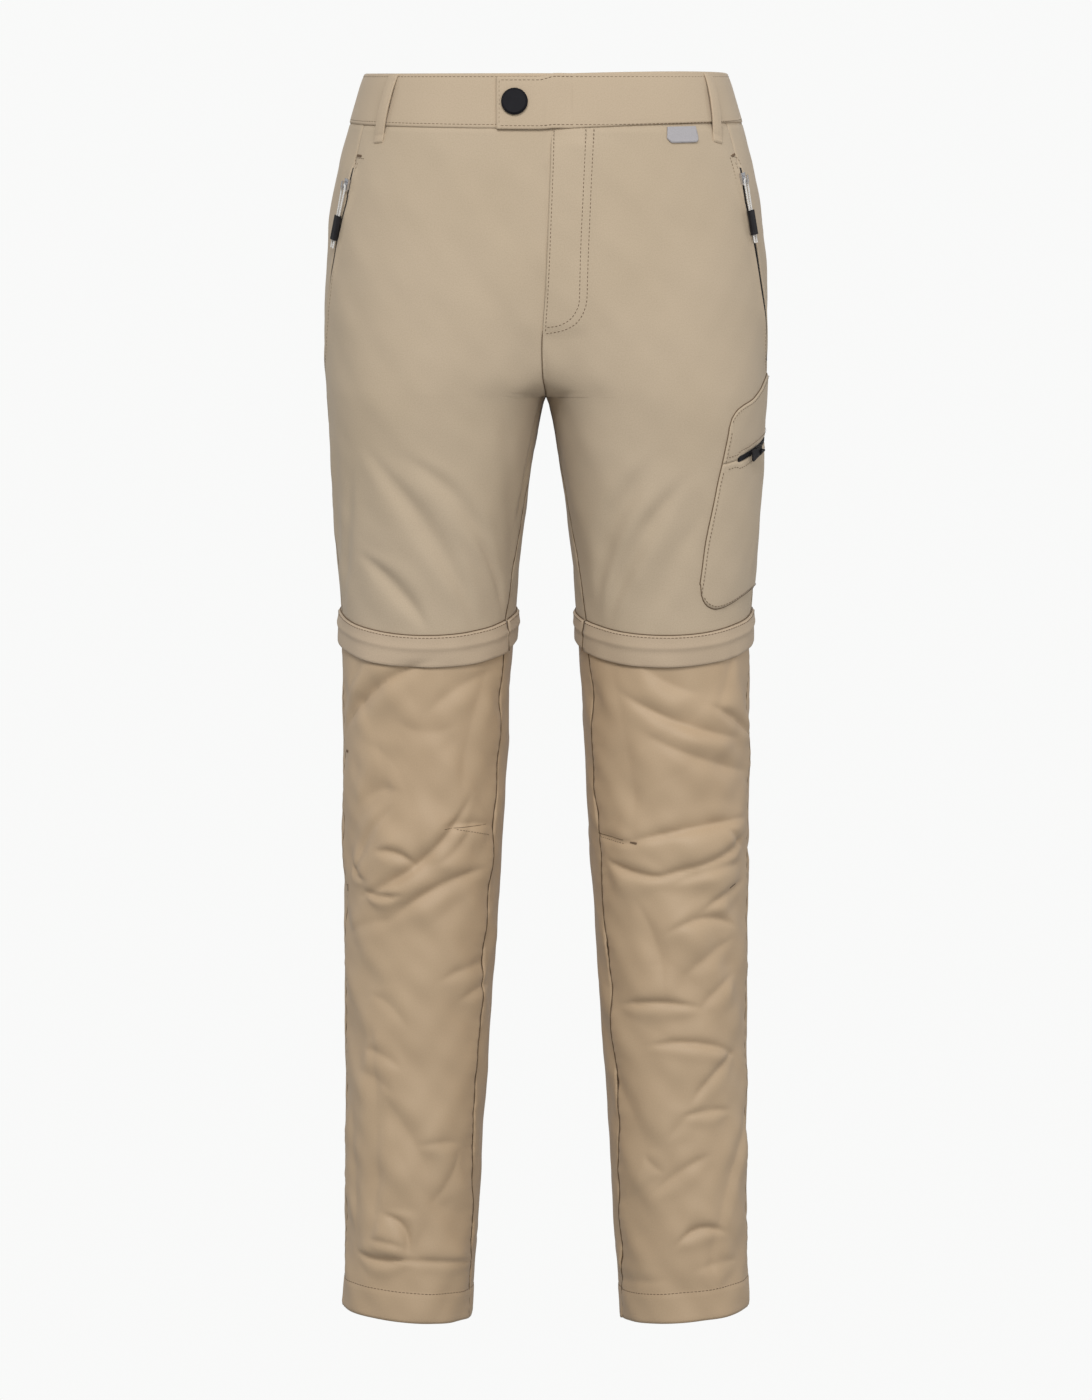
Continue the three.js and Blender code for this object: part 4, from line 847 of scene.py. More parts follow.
def thigh_heights(top_ahead, knee_ahead, v):
    top, foot = band_seam(top_ahead) + UNDER_BAND, flap_top(knee_ahead) - THIGH_TUCK
    return np.where(v <= 1, mix(top, CROTCH_Z, v), mix(CROTCH_Z, foot, v - 1))


# A panel tucks in behind the waistband at its top.
def under_band(z, seam_z):
    return -UNDER_BAND_DROP * smooth(seam_z - 1.2, seam_z + 1.0, z)


# Half the width that a pocket's mouth stands open.
def pocket_slot(side, z):
    ends = smooth(-232, -222, z) * (1 - smooth(-68, -60, z))
    if side < 0:
        return ends * mix(0.25, 1.2, smooth(-176, -140, z))
    return ends * (0.3 + 2.3 * smooth(-210, -176, z) * (1 - 0.5 * smooth(-122, -104, z)))


def front_edge_ahead(z):
    side_seam = SEAM["sideSeam"](z)
    return np.where(z > POCKET_END, np.maximum(POCKET["ahead"](z), side_seam), side_seam)


def below_crotch(z):
    return smooth(CROTCH_Z + 20, CROTCH_Z - 20, z)


# Where the fly's edge lies free over the right front, and how far it stands out inward of its edge.
def fly_share(z):
    return smooth(FLY_END_Z - 4, FLY_END_Z + 12, z)


def fly_raise(inward):
    return FLY_RAISE * (1 - smooth(0.7 * FLY_RAISE_WIDTH, FLY_RAISE_WIDTH, inward))


def front_thigh(side):
    count = 66
    top_ahead = mix(LEVELS.mark(0, WAIST_SEAM), POCKET["ahead"](WAIST_SEAM), shares(count))
    knee_ahead = mix(LEVELS.mark(0, KNEE_Z), SEAM["sideSeam"](KNEE_Z), shares(count))
    z = thigh_heights(top_ahead, knee_ahead, thigh_rows(86, 66))
    start = LEVELS.mark(0, z) - side * fly_edge(z)
    end = front_edge_ahead(z) + pocket_slot(side, z)
    a = spread(start, end, count)
    from_start, from_end = start - a, a - end
    seam_z, fly = band_seam(top_ahead), fly_share(z)
    lift = under_band(z, seam_z) + edge_dip(from_end) + lip(z, from_end)
    lift += edge_dip(from_start) * (1 - fly)
    if side > 0:
        below_band = 1 - smooth(seam_z - 16, seam_z - 3, z)
        lift += fly * (fly_raise(from_start) * below_band + edge_dip(from_start, 0.5, 0.7))
    lift += pucker(side, from_start, z, 0) * below_crotch(z)
    lift += pucker(side, from_end, z, 1) * smooth(POCKET_END + 10, POCKET_END - 20, z)
    return side, a, z, lift


# The right front runs on behind the fly edge of the left one, by these distances.
UNDER_FLY = np.array([16, 12, 9, 6.5, 4.5, 3, 1.6, 0.6])[None, :]
UNDER_FLY_DROP = 0.25


def front_thigh_whole(side):
    side, a, z, lift = front_thigh(side)
    if side < 0:
        reach = smooth(FLY_END_Z - 2, FLY_END_Z + 26, z[:, :1])
        tuck = 0.3 * (1 - reach)
        shift = tuck * np.linspace(0, 0.9, UNDER_FLY.size)[None, :] - UNDER_FLY * reach
        a = np.concatenate([a[:, :1] - shift, a[:, :1] - tuck, a[:, 1:]], axis=1)
        under = np.repeat(lift[:, :1], UNDER_FLY.size, axis=1) - UNDER_FLY_DROP * reach
        lift = np.concatenate([under, lift], axis=1)
        z = np.concatenate([np.repeat(z[:, :1], UNDER_FLY.size, axis=1), z], axis=1)
    sides, a = fold_over(side, a, z)
    return sides.astype(float), a, z, lift


def side_pocket(side):
    even = np.linspace(0, 1, 30)
    top_ahead = mix(POCKET["ahead"](WAIST_SEAM), 0, even)[None, :]
    seam_z = band_seam(top_ahead)
    z = mix(seam_z + UNDER_BAND, POCKET_END + 1.0, np.linspace(0, 1, 84)[:, None])
    start, end = front_edge_ahead(z) - pocket_slot(side, z), SEAM["sideSeam"](z)
    share = np.concatenate([[0, 0.012, 0.03, 0.05], even[2:-2], [0.95, 0.97, 0.988, 1]])
    a = mix(start, end, np.interp(even, np.linspace(0, 1, len(share)), share)[None, :])
    from_start, from_end = start - a, a - end
    lift = under_band(z, seam_z) + edge_dip(from_start) + edge_dip(from_end) + lip(z, from_start)
    return side, a, z, lift


# Below the elastic at the back, the cloth falls in small gathers.
GATHER_FROM, GATHER_TO, GATHER_PITCH, GATHER_HEIGHT = -30, -118, 8.5, 0.7


def back_thigh(side):
    count = 62
    top_ahead = mix(0, LEVELS.mark(4, WAIST_SEAM), shares(count))
    knee_ahead = mix(SEAM["sideSeam"](KNEE_Z), LEVELS.mark(4, KNEE_Z), shares(count))
    z = thigh_heights(top_ahead, knee_ahead, thigh_rows(70, 56))
    start, end = SEAM["sideSeam"](z), LEVELS.mark(4, z)
    a = spread(start, end, count)
    from_start, from_end = start - a, a - end
    inside = smooth(GATHER_FROM, GATHER_FROM - 14, a) * smooth(GATHER_TO, GATHER_TO + 14, a)
    gathers = GATHER_HEIGHT * np.sin(2 * np.pi * a / GATHER_PITCH + 0.8 * np.sin(a / 9))
    lift = under_band(z, band_seam(top_ahead)) + edge_dip(from_start) + edge_dip(from_end)
    lift += inside * smooth(-64, -24, z) * gathers
    lift += pucker(side, from_start, z, 1) + pucker(side, from_end, z, 0) * below_crotch(z)
    return side, a, z, lift


# A seam's number sets the phase of its wander and pucker: 0 for the inseam and 1 for the side seam.
def shin(side, front):
    rows, count = (270, 82) if front else (230, 70)
    (first, last), seams = ((0, 2), (0, 1)) if front else ((2, 4), (1, 0))
    knee_ahead, hem_ahead = (
        mix(LEVELS.mark(first, z), LEVELS.mark(last, z), shares(count)) for z in (KNEE_Z, HEM_Z)
    )
    v = np.concatenate([np.linspace(0, 0.955, rows - 10), np.linspace(0.955, 1, 11)[1:]])[:, None]
    foot = hem_z(hem_ahead)
    z = mix(flap_top(knee_ahead) - SHIN_TUCK, foot, v)
    start = LEVELS.mark(first, z) + wander(side, z, seams[0])
    end = LEVELS.mark(last, z) + wander(side, z, seams[1])
    a = spread(start, end, count)
    from_start, from_end = start - a, a - end
    lift = edge_dip(from_start) + edge_dip(from_end)
    lift += pucker(side, from_start, z, seams[0]) + pucker(side, from_end, z, seams[1])
    above_hem = z - foot
    hem = 1 - smooth(HEM_DEPTH - 0.8, HEM_DEPTH + 1.2, above_hem)
    lift += 0.55 * hem - 0.3 * bell(above_hem - HEM_DEPTH, 1.6) - 0.5 * bell(above_hem, 0.8)
    return side, a, z, lift


for name, side in SIDES:
    for panel, node, grid, material, slot in (
        ("front_thigh", "thigh_front", front_thigh_whole(side), UPPER, "cloth"),
        ("back_thigh", "thigh_back", back_thigh(side), UPPER, "cloth"),
        ("side_pocket", "pocket_side", side_pocket(side), UPPER, "cloth"),
        ("front_shin", "shin_front", shin(side, True), LOWER, "cloth_lower"),
        ("back_shin", "shin_back", shin(side, False), LOWER, "cloth_lower"),
    ):
        sheet(f"{panel}_{name}", f"{node}_{name}", grid, PANEL_WALL, material)


# The ring that covers each zip-off zip: sewn along its top, loose below, with the zip's ridge under it.
KNEE_FRONT, KNEE_BACK = float(LEVELS.mark(0, KNEE_Z)), float(LEVELS.mark(4, KNEE_Z))
FLAP_ROWS = np.array([
    -0.2, 0.1, 0.5, 1.1, 1.9, 2.8, 4, 5.5, 7.5, 9, 10,
    11, 12, 13.2, 15, 17.5, 20, 22.5, 24.5, 25.8, 26.6, FLAP_DEPTH,
])[:, None]
FLAP_BASE, FLAP_WALL = 2.5, 1.3


def flap_rise(down):
    return 0.9 * smooth(0, 9, down)


def zip_ridge(down):
    return 0.75 * bell(down - 10.6, 2.4) - 0.25 * bell(down - 15, 2.2)


def knee_flap(side):
    ahead_line = mix(KNEE_FRONT, KNEE_BACK, np.linspace(0, 1, 170))[None, :]
    down = FLAP_ROWS
    z = flap_top(ahead_line) - down
    a = np.broadcast_to(ahead_line, z.shape)
    sewn = FLAP_BASE * (1.0 - 0.8 * bell(down, 0.8)) + flap_rise(down)
    foot = -0.7 * bell(down - FLAP_DEPTH, 0.7)
    sway = 0.35 * np.sin(a / 21 + side) * smooth(10, 27, down)
    sway = sway + 0.25 * np.sin(a / 8.5) * smooth(14, 27, down)
    at_seam = edge_dip(KNEE_FRONT - a, 0.7, 1.2) + edge_dip(a - KNEE_BACK, 0.7, 1.2)
    at_seam = at_seam + edge_dip(a - SEAM["sideSeam"](KNEE_Z), 0.6, 1.2)
    return side, a, z, sewn + zip_ridge(down) + foot + sway + at_seam


for name, side in SIDES:
    sheet(f"zip_cover_{name}", f"knee_flap_{name}", knee_flap(side), FLAP_WALL, FLAP)


# The waistband. q is the distance along the band from the centre front, towards the wearer's left,
# and v the share down it.
BAND_WALL = 2.6
BAND_ROWS = np.array([
    0, 0.008, 0.025, 0.05, 0.08, 0.12, 0.17, 0.24, 0.33, 0.43,
    0.53, 0.63, 0.72, 0.8, 0.86, 0.91, 0.945, 0.97, 0.988, 1,
])[:, None]
BAND_STITCH_SHARES = (0.065, 0.935)
ELASTIC_SHARES = (0.22, 0.41, 0.6, 0.79)
WAIST_FRONT, WAIST_BACK = float(LEVELS.mark(0, 0)), float(LEVELS.mark(4, 0))
TAB_START = 22


def band_profile(v):
    rounded = -1.0 * bell(v, 0.012) - 0.9 * bell(1 - v, 0.014)
    return 0.75 + rounded - 0.28 * sum(bell(v - share, 0.016) for share in BAND_STITCH_SHARES)


# Which half a place is on, by its distance past the centre.
def half_of(q, z):
    return np.where(q < 0, -1.0, 1.0) * np.ones_like(z)


# The button tab is narrower than the band and stands off it.
def tab_heights(q, v):
    a = WAIST_FRONT - np.abs(q)
    dip = smooth(8, -6, q)
    return mix(band_top(a) - 3.2 * dip, band_seam(a) - dip, v)


def tab_lift(q):
    return (TAB_RAISE - 0.4) * (1 - smooth(1.5, 24, q))


def waistband_front_left():
    tab = [-TAB_LENGTH, -40.7, -40.2, -39.5, -38.5, -37, -35, -32, -29, -26, -22, -18, -14, -10, -6, -3]
    near = [0, 3, 6, 10, 14, 18, TAB_START]
    q = np.concatenate([tab, near, np.linspace(26, WAIST_FRONT, 84)])[None, :]
    z = tab_heights(q, BAND_ROWS)
    share = np.clip((q - TAB_START) / (WAIST_FRONT - TAB_START), 0, 1)
    straight = LEVELS.mark(0, z) - np.abs(q)
    end = mix(straight, SEAM["sideSeam"](z), smooth(0.9, 1, share))
    a = np.where(q > TAB_START, mix(LEVELS.mark(0, z) - TAB_START, end, share), straight)
    tip = -0.8 * bell(q + TAB_LENGTH, 0.8)
    sag = 0.7 * np.sin(np.pi * BAND_ROWS) * bell(q - 12, 16)
    lift = band_profile(BAND_ROWS) + tab_lift(q) + tip - sag + edge_dip(WAIST_FRONT - q, 0.8)
    return half_of(q, z), a, z, lift


def waistband_front_right():
    q = np.concatenate([[-20, -14, -8, -4, -1.5], np.linspace(0.2, WAIST_FRONT, 92)])[None, :]
    top_ahead = WAIST_FRONT - np.abs(q)
    z = mix(band_top(top_ahead), band_seam(top_ahead), BAND_ROWS)
    to_side = smooth(0.9, 1, np.clip(q / WAIST_FRONT, 0, 1))
    a = mix(LEVELS.mark(0, z) - np.abs(q), SEAM["sideSeam"](z), to_side)
    lift = band_profile(BAND_ROWS) - 0.5 * smooth(4, -8, q) + edge_dip(WAIST_FRONT - q, 0.8)
    return -half_of(q, z), a, z, lift


def waistband_back():
    half = np.concatenate([[0, 0.003, 0.008, 0.016], np.linspace(0.03, 1, 148)])
    turn = np.concatenate([half, half[::-1][1:]])[None, :]
    side = np.concatenate([-np.ones(len(half)), np.ones(len(half) - 1)])[None, :]
    top_ahead = mix(0, WAIST_BACK, turn)
    z = mix(band_top(top_ahead), band_seam(top_ahead), BAND_ROWS)
    a = mix(SEAM["sideSeam"](z), LEVELS.mark(4, z), turn)
    gathered = smooth(-24, -36, top_ahead) * smooth(-120, -108, top_ahead)
    within = np.sin(np.pi * np.clip(BAND_ROWS * 1.14 - 0.07, 0, 1)) ** 0.5
    waves = np.sin(2 * np.pi * top_ahead / 7.0 + 0.9 * np.sin(top_ahead / 11))
    waves = waves * mix(0.8, 1.1, np.sin(top_ahead * 1.7 + side))
    held = 1 - 0.75 * sum(bell(BAND_ROWS - share, 0.03) for share in ELASTIC_SHARES)
    lift = band_profile(BAND_ROWS) + 0.75 * gathered * within * waves * held
    return side * np.ones_like(z), a, z, lift + edge_dip(turn * abs(WAIST_BACK), 0.8)


for name, node, grid in (
    ("waistband_left", "waistband_front_left", waistband_front_left()),
    ("waistband_right", "waistband_front_right", waistband_front_right()),
    ("waistband_rear", "waistband_back", waistband_back()),
):
    sheet(name, node, grid, BAND_WALL, BAND)


# A strip along a path: path(v) gives side, ahead, z and lift down its middle; u runs across, -1 to 1.
STRIP_STEP = 0.004


def strip_grid(path, v, u, half_width):
    side, a, z, lift = path(v)
    _, a0, z0, _ = path(v - STRIP_STEP)
    _, a1, z1, _ = path(v + STRIP_STEP)
    da, dz = a1 - a0, z1 - z0
    length = np.hypot(da, dz)
    u = u[None, :] * half_width
    grid_a = a[:, None] - (dz / length)[:, None] * u
    grid_z = z[:, None] + (da / length)[:, None] * u
    return side, grid_a, grid_z, np.repeat(lift[:, None], u.shape[1], axis=1)


# Belt loops: a folded strip standing off the band, sewn at its top and at its foot. Each row has its
# names, its side and how far ahead its top and its foot are.
LOOP_HALF_WIDTH, LOOP_WALL, LOOP_TOP, LOOP_FOOT = 5.2, 1.3, 0.9, 14
LOOP_ACROSS = np.array([
    -1, -0.985, -0.93, -0.84, -0.7, -0.5, -0.25, 0, 0.25, 0.5, 0.7, 0.84, 0.93, 0.985, 1,
])
LOOP_DOWN = np.concatenate([
    [0, 0.006, 0.016, 0.03], np.linspace(0.05, 0.95, 44), [0.965, 0.98, 0.99, 0.996, 1],
])
LOOPS = [
    ("loop_front_right", "belt_loop_front_right", -1, 85.4, 87.5),
    ("loop_front_left", "belt_loop_front_left", 1, 71.5, 82.7),
    ("loop_back_right", "belt_loop_back_right", -1, -124, -130),
    ("loop_back_left", "belt_loop_back_left", 1, -124, -130),
]


def loop_lift(v):
    standing = 2.2 * np.sin(np.pi * np.clip((v - 0.02) / 0.84, 0, 1)) ** 0.8
    return 2.0 + standing - 0.5 * smooth(0.86, 0.9, v)


def loop_profile():
    u, v = LOOP_ACROSS[None, :], LOOP_DOWN[:, None]
    seams = -0.22 * bell(np.abs(u) - 0.62, 0.1) * (1 - smooth(0.88, 0.9, v))
    ends = -0.7 * bell(v, 0.01) - 0.9 * bell(1 - v, 0.012)
    return -0.8 * np.abs(u) ** 14 + seams + 0.2 * bell(u, 0.3) + ends - 0.25 * bell(v - 0.89, 0.012)


def loop_heights(top_ahead, foot_ahead, v):
    return mix(band_top(top_ahead) - LOOP_TOP, band_seam(foot_ahead) - LOOP_FOOT, v)


for name, node, side, top_ahead, foot_ahead in LOOPS:
    def loop_path(v, side=side, top_ahead=top_ahead, foot_ahead=foot_ahead):
        return side, mix(top_ahead, foot_ahead, v), loop_heights(top_ahead, foot_ahead, v), loop_lift(v)

    side_, a, z, lift = strip_grid(loop_path, LOOP_DOWN, LOOP_ACROSS, LOOP_HALF_WIDTH)
    sheet(name, node, (side_, a, z, lift + loop_profile()), LOOP_WALL, BAND)

# The loop over the centre back.
v, q = LOOP_DOWN[:, None], LOOP_ACROSS[None, :] * LOOP_HALF_WIDTH
z = loop_heights(WAIST_BACK, WAIST_BACK, v) * np.ones_like(q)
grid = half_of(q, z), LEVELS.mark(4, z) + np.abs(q), z, loop_lift(v) + loop_profile()
sheet("loop_back_middle", "belt_loop_back_centre", grid, LOOP_WALL, BAND)

# The shield behind the fly.
q = np.linspace(-20, 20, 24)[None, :]
z = np.linspace(-37, -172, 60)[:, None] * np.ones_like(q)
grid = half_of(q, z), LEVELS.mark(0, z) - np.abs(q), z, np.full_like(z, -2.6)
sheet("fly_backing", "fly_shield", grid, PANEL_WALL, UPPER)

# The cargo pocket on the wearer's left thigh: its edges, and the slot for its zip, which closes
# ahead of the zip's end.
CARGO_BACK, CARGO_ZIP_FRONT, CARGO_SLOT, CARGO_WALL, CARGO_WIDTH = -72, 70, 2.6, 1.1, 172
CARGO_FRONT_EDGE = curve_through([-440, -389, -354, -306, -281, -240], [103, 103, 101, 96.4, 95.5, 95])
CARGO_TOP = curve_through(
    [CARGO_BACK, -60, -30, 0, 30, 61, 85, 93, 96], [-262, -252, -240, -237, -244, -258, -267, -275, -283]
)
CARGO_LINE = curve_through([CARGO_BACK, -10, 27, 51, 74, 103], [-286, -290, -297, -302.5, -309, -314])
CARGO_BOTTOM = curve_through(
    [CARGO_BACK, -60, -14, 20, 49, 76, 84, 92, 99, 103],
    [-408, -418, -420, -422, -427, -436, -437, -434.5, -427, -415],
)


def cargo_slot(a):
    return mix(CARGO_SLOT, 0.12, smooth(CARGO_ZIP_FRONT + 6, CARGO_ZIP_FRONT + 12, a))


def above_slot(a):
    return CARGO_LINE(a) + cargo_slot(a)


def below_slot(a):
    return CARGO_LINE(a) - cargo_slot(a)


def near_ends(count, first=0.004):
    ends = np.array([0, first, 2.4 * first, 4.5 * first, 8 * first])
    return np.concatenate([ends, np.linspace(11 * first, 1 - 11 * first, count), 1 - ends[::-1]])


def cargo_piece(upper, lower, rows, pouch):
    u, v = near_ends(74)[None, :], near_ends(rows, 0.006 if pouch else 0.014)[:, None]
    guide = mix(100, CARGO_BACK, u)
    a = mix(CARGO_FRONT_EDGE(mix(upper(guide), lower(guide), v)), CARGO_BACK, u)
    z = mix(upper(a), lower(a), v)
    height = np.abs(upper(a) - lower(a))
    to_edge = np.minimum(np.minimum(u, 1 - u) * CARGO_WIDTH, (1 - v if pouch else v) * height)
    to_zip = (v if pouch else 1 - v) * height
    lift = 1.7 - 1.5 * bell(to_edge, 0.9) - 0.3 * bell(to_edge - 2.6, 0.9)
    lift += -0.9 * bell(to_zip, 0.9) - 0.3 * bell(to_zip - 4.6, 0.9)
    if pouch:
        body = np.sin(np.pi * u) ** 0.6 * np.sin(np.pi * v) ** 0.6
        crease = bell(a - 38 + 0.24 * (z + 400), 6) * smooth(-424, -400, z) * smooth(-330, -380, z)
        lift += body * (1.3 + 0.9 * crease + 0.5 * np.sin(a / 13 + z / 27))
    return 1, a, z, lift


YOKE = cargo_piece(CARGO_TOP, above_slot, 22, False)
POUCH = cargo_piece(below_slot, CARGO_BOTTOM, 50, True)
sheet("thigh_pocket_yoke", "cargo_yoke", YOKE, CARGO_WALL, UPPER)
sheet("thigh_pocket_pouch", "cargo_pouch", POUCH, CARGO_WALL, UPPER)

# The label tab, bare, with rounded lower corners and leaning a little.
LABEL = {"ahead": 118.4, "half": 14, "drop": 13.4, "corner": 4.2, "lean": 1.5, "wall": 0.8}
u, v = near_ends(18, 0.01)[None, :] * 2 - 1, near_ends(10, 0.012)[:, None]
a = LABEL["ahead"] + u * LABEL["half"] + LABEL["lean"] * v * (u + 1)
corner = LABEL["corner"] * np.clip((np.abs(u) - 0.74) / 0.26, 0, 1) ** 2.2
z = band_seam(a) + 0.4 - v * (LABEL["drop"] - corner)
raised = 2.1 - 0.7 * smooth(0.9, 1, np.abs(u)) - 0.6 * smooth(0.94, 1, v)
welt = 0.12 * bell(v - 0.9, 0.03) + 0.12 * bell(np.abs(u) - 0.9, 0.03)
sheet("label", "label_tab", (1, a, z, raised + welt), LABEL["wall"], LABEL_CLOTH)


# A bead like a rounded box, as points along, across and out, for coil turns and stitches.
BEAD_RINGS = [(-1.0, 0.25), (-0.82, 0.8), (-0.4, 1.0), (0.4, 1.0), (0.82, 0.8), (1.0, 0.25)]
BEAD_SIDES = 6


# Faces of a tube from rings of points, closed at both ends.
def tube_faces(rings, sides):
    index = np.arange(rings * sides).reshape(rings, sides)
    after = np.roll(index, -1, axis=1)
    walls = np.stack([index[:-1], after[:-1], after[1:], index[1:]], axis=-1).reshape(-1, 4)
    return walls.tolist() + [index[0][::-1].tolist(), index[-1].tolist()]


def bead_points():
    turns = [2 * math.pi * k / BEAD_SIDES for k in range(BEAD_SIDES)]
    return np.array([(x, r * math.cos(t), r * math.sin(t)) for x, r in BEAD_RINGS for t in turns])


BEAD_POINTS = bead_points()
BEAD_FACES = [face[::-1] for face in tube_faces(len(BEAD_RINGS), BEAD_SIDES)]


# Many small closed forms that make one piece.
class Cluster:
    def __init__(self):
        self.points, self.faces, self.count = [], [], 0

    def add(self, points, faces):
        self.points.append(points)
        self.faces += [[k + self.count for k in face] for face in faces]
        self.count += len(points)

    # One bead at each place, by half its length, width and height.
    def beads(self, frames, *halves):
        local = BEAD_POINTS * np.array(halves) * MM
        for centre, x, y, z in zip(*frames):
            self.add(centre + local[:, :1] * x + local[:, 1:2] * y + local[:, 2:] * z, BEAD_FACES)

    # A cord of thread along a line, of one radius or of one for each point.
    def cord(self, side, a, z, lift, radius=0.45, sides=6, on_middle=False):
        centres, _, across, out = line_frames(side, a, z, lift, on_middle)
        turn = (np.arange(sides) * 2 * np.pi / sides)[None, :, None]
        ring = np.cos(turn) * across[:, None, :] + np.sin(turn) * out[:, None, :]
        points = centres[:, None, :] + np.reshape(radius, (-1, 1, 1)) * MM * ring
        self.add(points.reshape(-1, 3), tube_faces(len(centres), sides))

    def make(self, name, material):
        points = np.concatenate(self.points)
        piece = make_object(name, points, self.faces, points[:, [0, 2]])
        piece.data.materials.append(material)
        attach(piece, "trousers")


# Distances walked along a line, and what values are there.
def walk(points, pitch):
    arcs = np.concatenate([[0], np.cumsum(np.linalg.norm(np.diff(points, axis=0), axis=1))])
    return np.arange(pitch / 2, arcs[-1], pitch), arcs


def at_arc(arcs, values, where):
    return np.stack([np.interp(where, arcs, values[:, i]) for i in range(values.shape[1])], axis=1)


# Zips: a woven tape with a row of moulded coil turns along its middle.
ZIP_HALF, ZIP_WALL, COIL_PITCH, LEG_COIL_PITCH = 5.6, 0.6, 1.25, 2.4
ZIP_ACROSS = np.array([-1, -0.9, -0.6, -0.45, -0.3, 0, 0.3, 0.45, 0.6, 0.9, 1])
COIL_APART, COIL_STAGGER, COIL_RISE, COIL_HALVES = 0.55, 0.3, 0.45, (0.95, 0.46, 0.55)


def zip_piece(name, node, path, pitch=COIL_PITCH):
    side, a, z, lift = strip_grid(path, np.linspace(0, 1, 70), ZIP_ACROSS, ZIP_HALF)
    lift = lift - 0.9 * smooth(0.3, 0.6, np.abs(ZIP_ACROSS))[None, :]
    sheet(name, node, (side, a, z, lift), ZIP_WALL, ZIP_TAPE)
    points, *directions = line_frames(*path(np.linspace(0, 1, 160)))
    where, arcs = walk(points, pitch * MM)
    along, across, out = (at_arc(arcs, values, where) for values in directions)
    turns = Cluster()
    for hand in (-1, 1):
        centres = at_arc(arcs, points, where + hand * COIL_STAGGER * MM)
        centres = centres + (hand * COIL_APART * across + COIL_RISE * out) * MM
        turns.beads((centres, across, along, out), *COIL_HALVES)
    turns.make(name + "_coil", COIL)


for name, side in SIDES:
    def pocket_path(v, side=side):
        z = mix(-63, -226, v)
        return side, POCKET["ahead"](z), z, np.full_like(z, 0.1 if side > 0 else -0.3)

    def knee_path(v, side=side):
        a = mix(KNEE_FRONT, KNEE_BACK, v)
        return side, a, flap_top(a) - 13.2, np.full_like(a, 0.2)

    zip_piece(f"front_zip_{name}", f"pocket_zip_{name}", pocket_path)
    zip_piece(f"leg_zip_{name}", f"knee_zip_{name}", knee_path, LEG_COIL_PITCH)


def cargo_path(v):
    a = mix(CARGO_ZIP_FRONT + 8, CARGO_BACK + 6, v)
    return 1, a, CARGO_LINE(a), np.full_like(a, 0.6)


zip_piece("thigh_pocket_zip", "cargo_zip", cargo_path)


# The sewn seams: a dark cord closes each one between its two panels. Its dark colour is painted shade of the
# seam's crease.
SEAM_SHADE_CORDS = Cluster()
for side in (-1, 1):
    z = np.linspace(CROTCH_Z - 1, float(flap_top(KNEE_FRONT)) - 2, 90)
    SEAM_SHADE_CORDS.cord(side, LEVELS.mark(0, z), z, -0.4)
    z = np.linspace(float(band_seam(0)) + 1, float(flap_top(0)) - 2, 200)
    SEAM_SHADE_CORDS.cord(side, SEAM["sideSeam"](z), z, -0.45)
    for mark, seam, low in ((0, 0, -0.35), (2, 1, -0.6)):
        top, foot = flap_top(LEVELS.mark(mark, KNEE_Z)), hem_z(LEVELS.mark(mark, HEM_Z))
        z = np.linspace(float(top) - SHIN_TUCK - 2, float(foot) + 1.5, 260)
        SEAM_SHADE_CORDS.cord(side, LEVELS.mark(mark, z) + wander(side, z, seam), z, low, 0.42)
    down = np.linspace(0.4, 26.4, 30)
    line = np.full_like(down, KNEE_FRONT)
    SEAM_SHADE_CORDS.cord(side, line, flap_top(line) - down, 2.3 + flap_rise(down) + zip_ridge(down), 0.5)
    line = np.linspace(KNEE_FRONT, KNEE_BACK, 400)
    SEAM_SHADE_CORDS.cord(side, line, flap_top(line) + 0.3, 0.7, 0.42)

# The centre seams, with their points closer together towards the crotch. The back one lies on the
# middle plane and is thicker there, so that no light shows through.
z = CROTCH_Z + (float(band_seam(WAIST_BACK)) - CROTCH_Z) * np.linspace(1, 0, 240) ** 2.4
SEAM_SHADE_CORDS.cord(1, LEVELS.mark(4, z), z, -0.6, mix(0.5, 1.0, smooth(-120, -190, z)), on_middle=True)
z = CROTCH_Z + (FLY_END_Z + 4 - CROTCH_Z) * np.linspace(1, 0, 100) ** 2
sides, a = fold_over(1.0, LEVELS.mark(0, z) - fly_edge(z), z)
SEAM_SHADE_CORDS.cord(sides, a, z, -0.5, 0.38)

# Round the cargo pocket, at the foot of its edges, a dark cord of painted shade.
for grid, row in ((YOKE, 0), (POUCH, -1)):
    a, z = (
        np.concatenate([v[::-1, 0], v[0, 1:], v[1:, -1]] if row == 0 else [v[:, 0], v[-1, 1:], v[-2::-1, -1]])
        for v in grid[1:3]
    )
    SEAM_SHADE_CORDS.cord(1, a, z, 0.25, 0.5)


# A path through places on the cloth, evenly walked. Its lift is a number or depends on the place.
def path_through(spots, lift):
    side, a_knots, z_knots = spots[0][0], *(np.array([spot[i] for spot in spots]) for i in (1, 2))
    steps = np.concatenate([[0], np.cumsum(np.hypot(np.diff(a_knots), np.diff(z_knots)))])
    steps /= steps[-1]

    def path(v):
        a, z = np.interp(v, steps, a_knots), np.interp(v, steps, z_knots)
        return side, a, z, lift(a, z) if callable(lift) else np.full_like(a, lift)

    return path


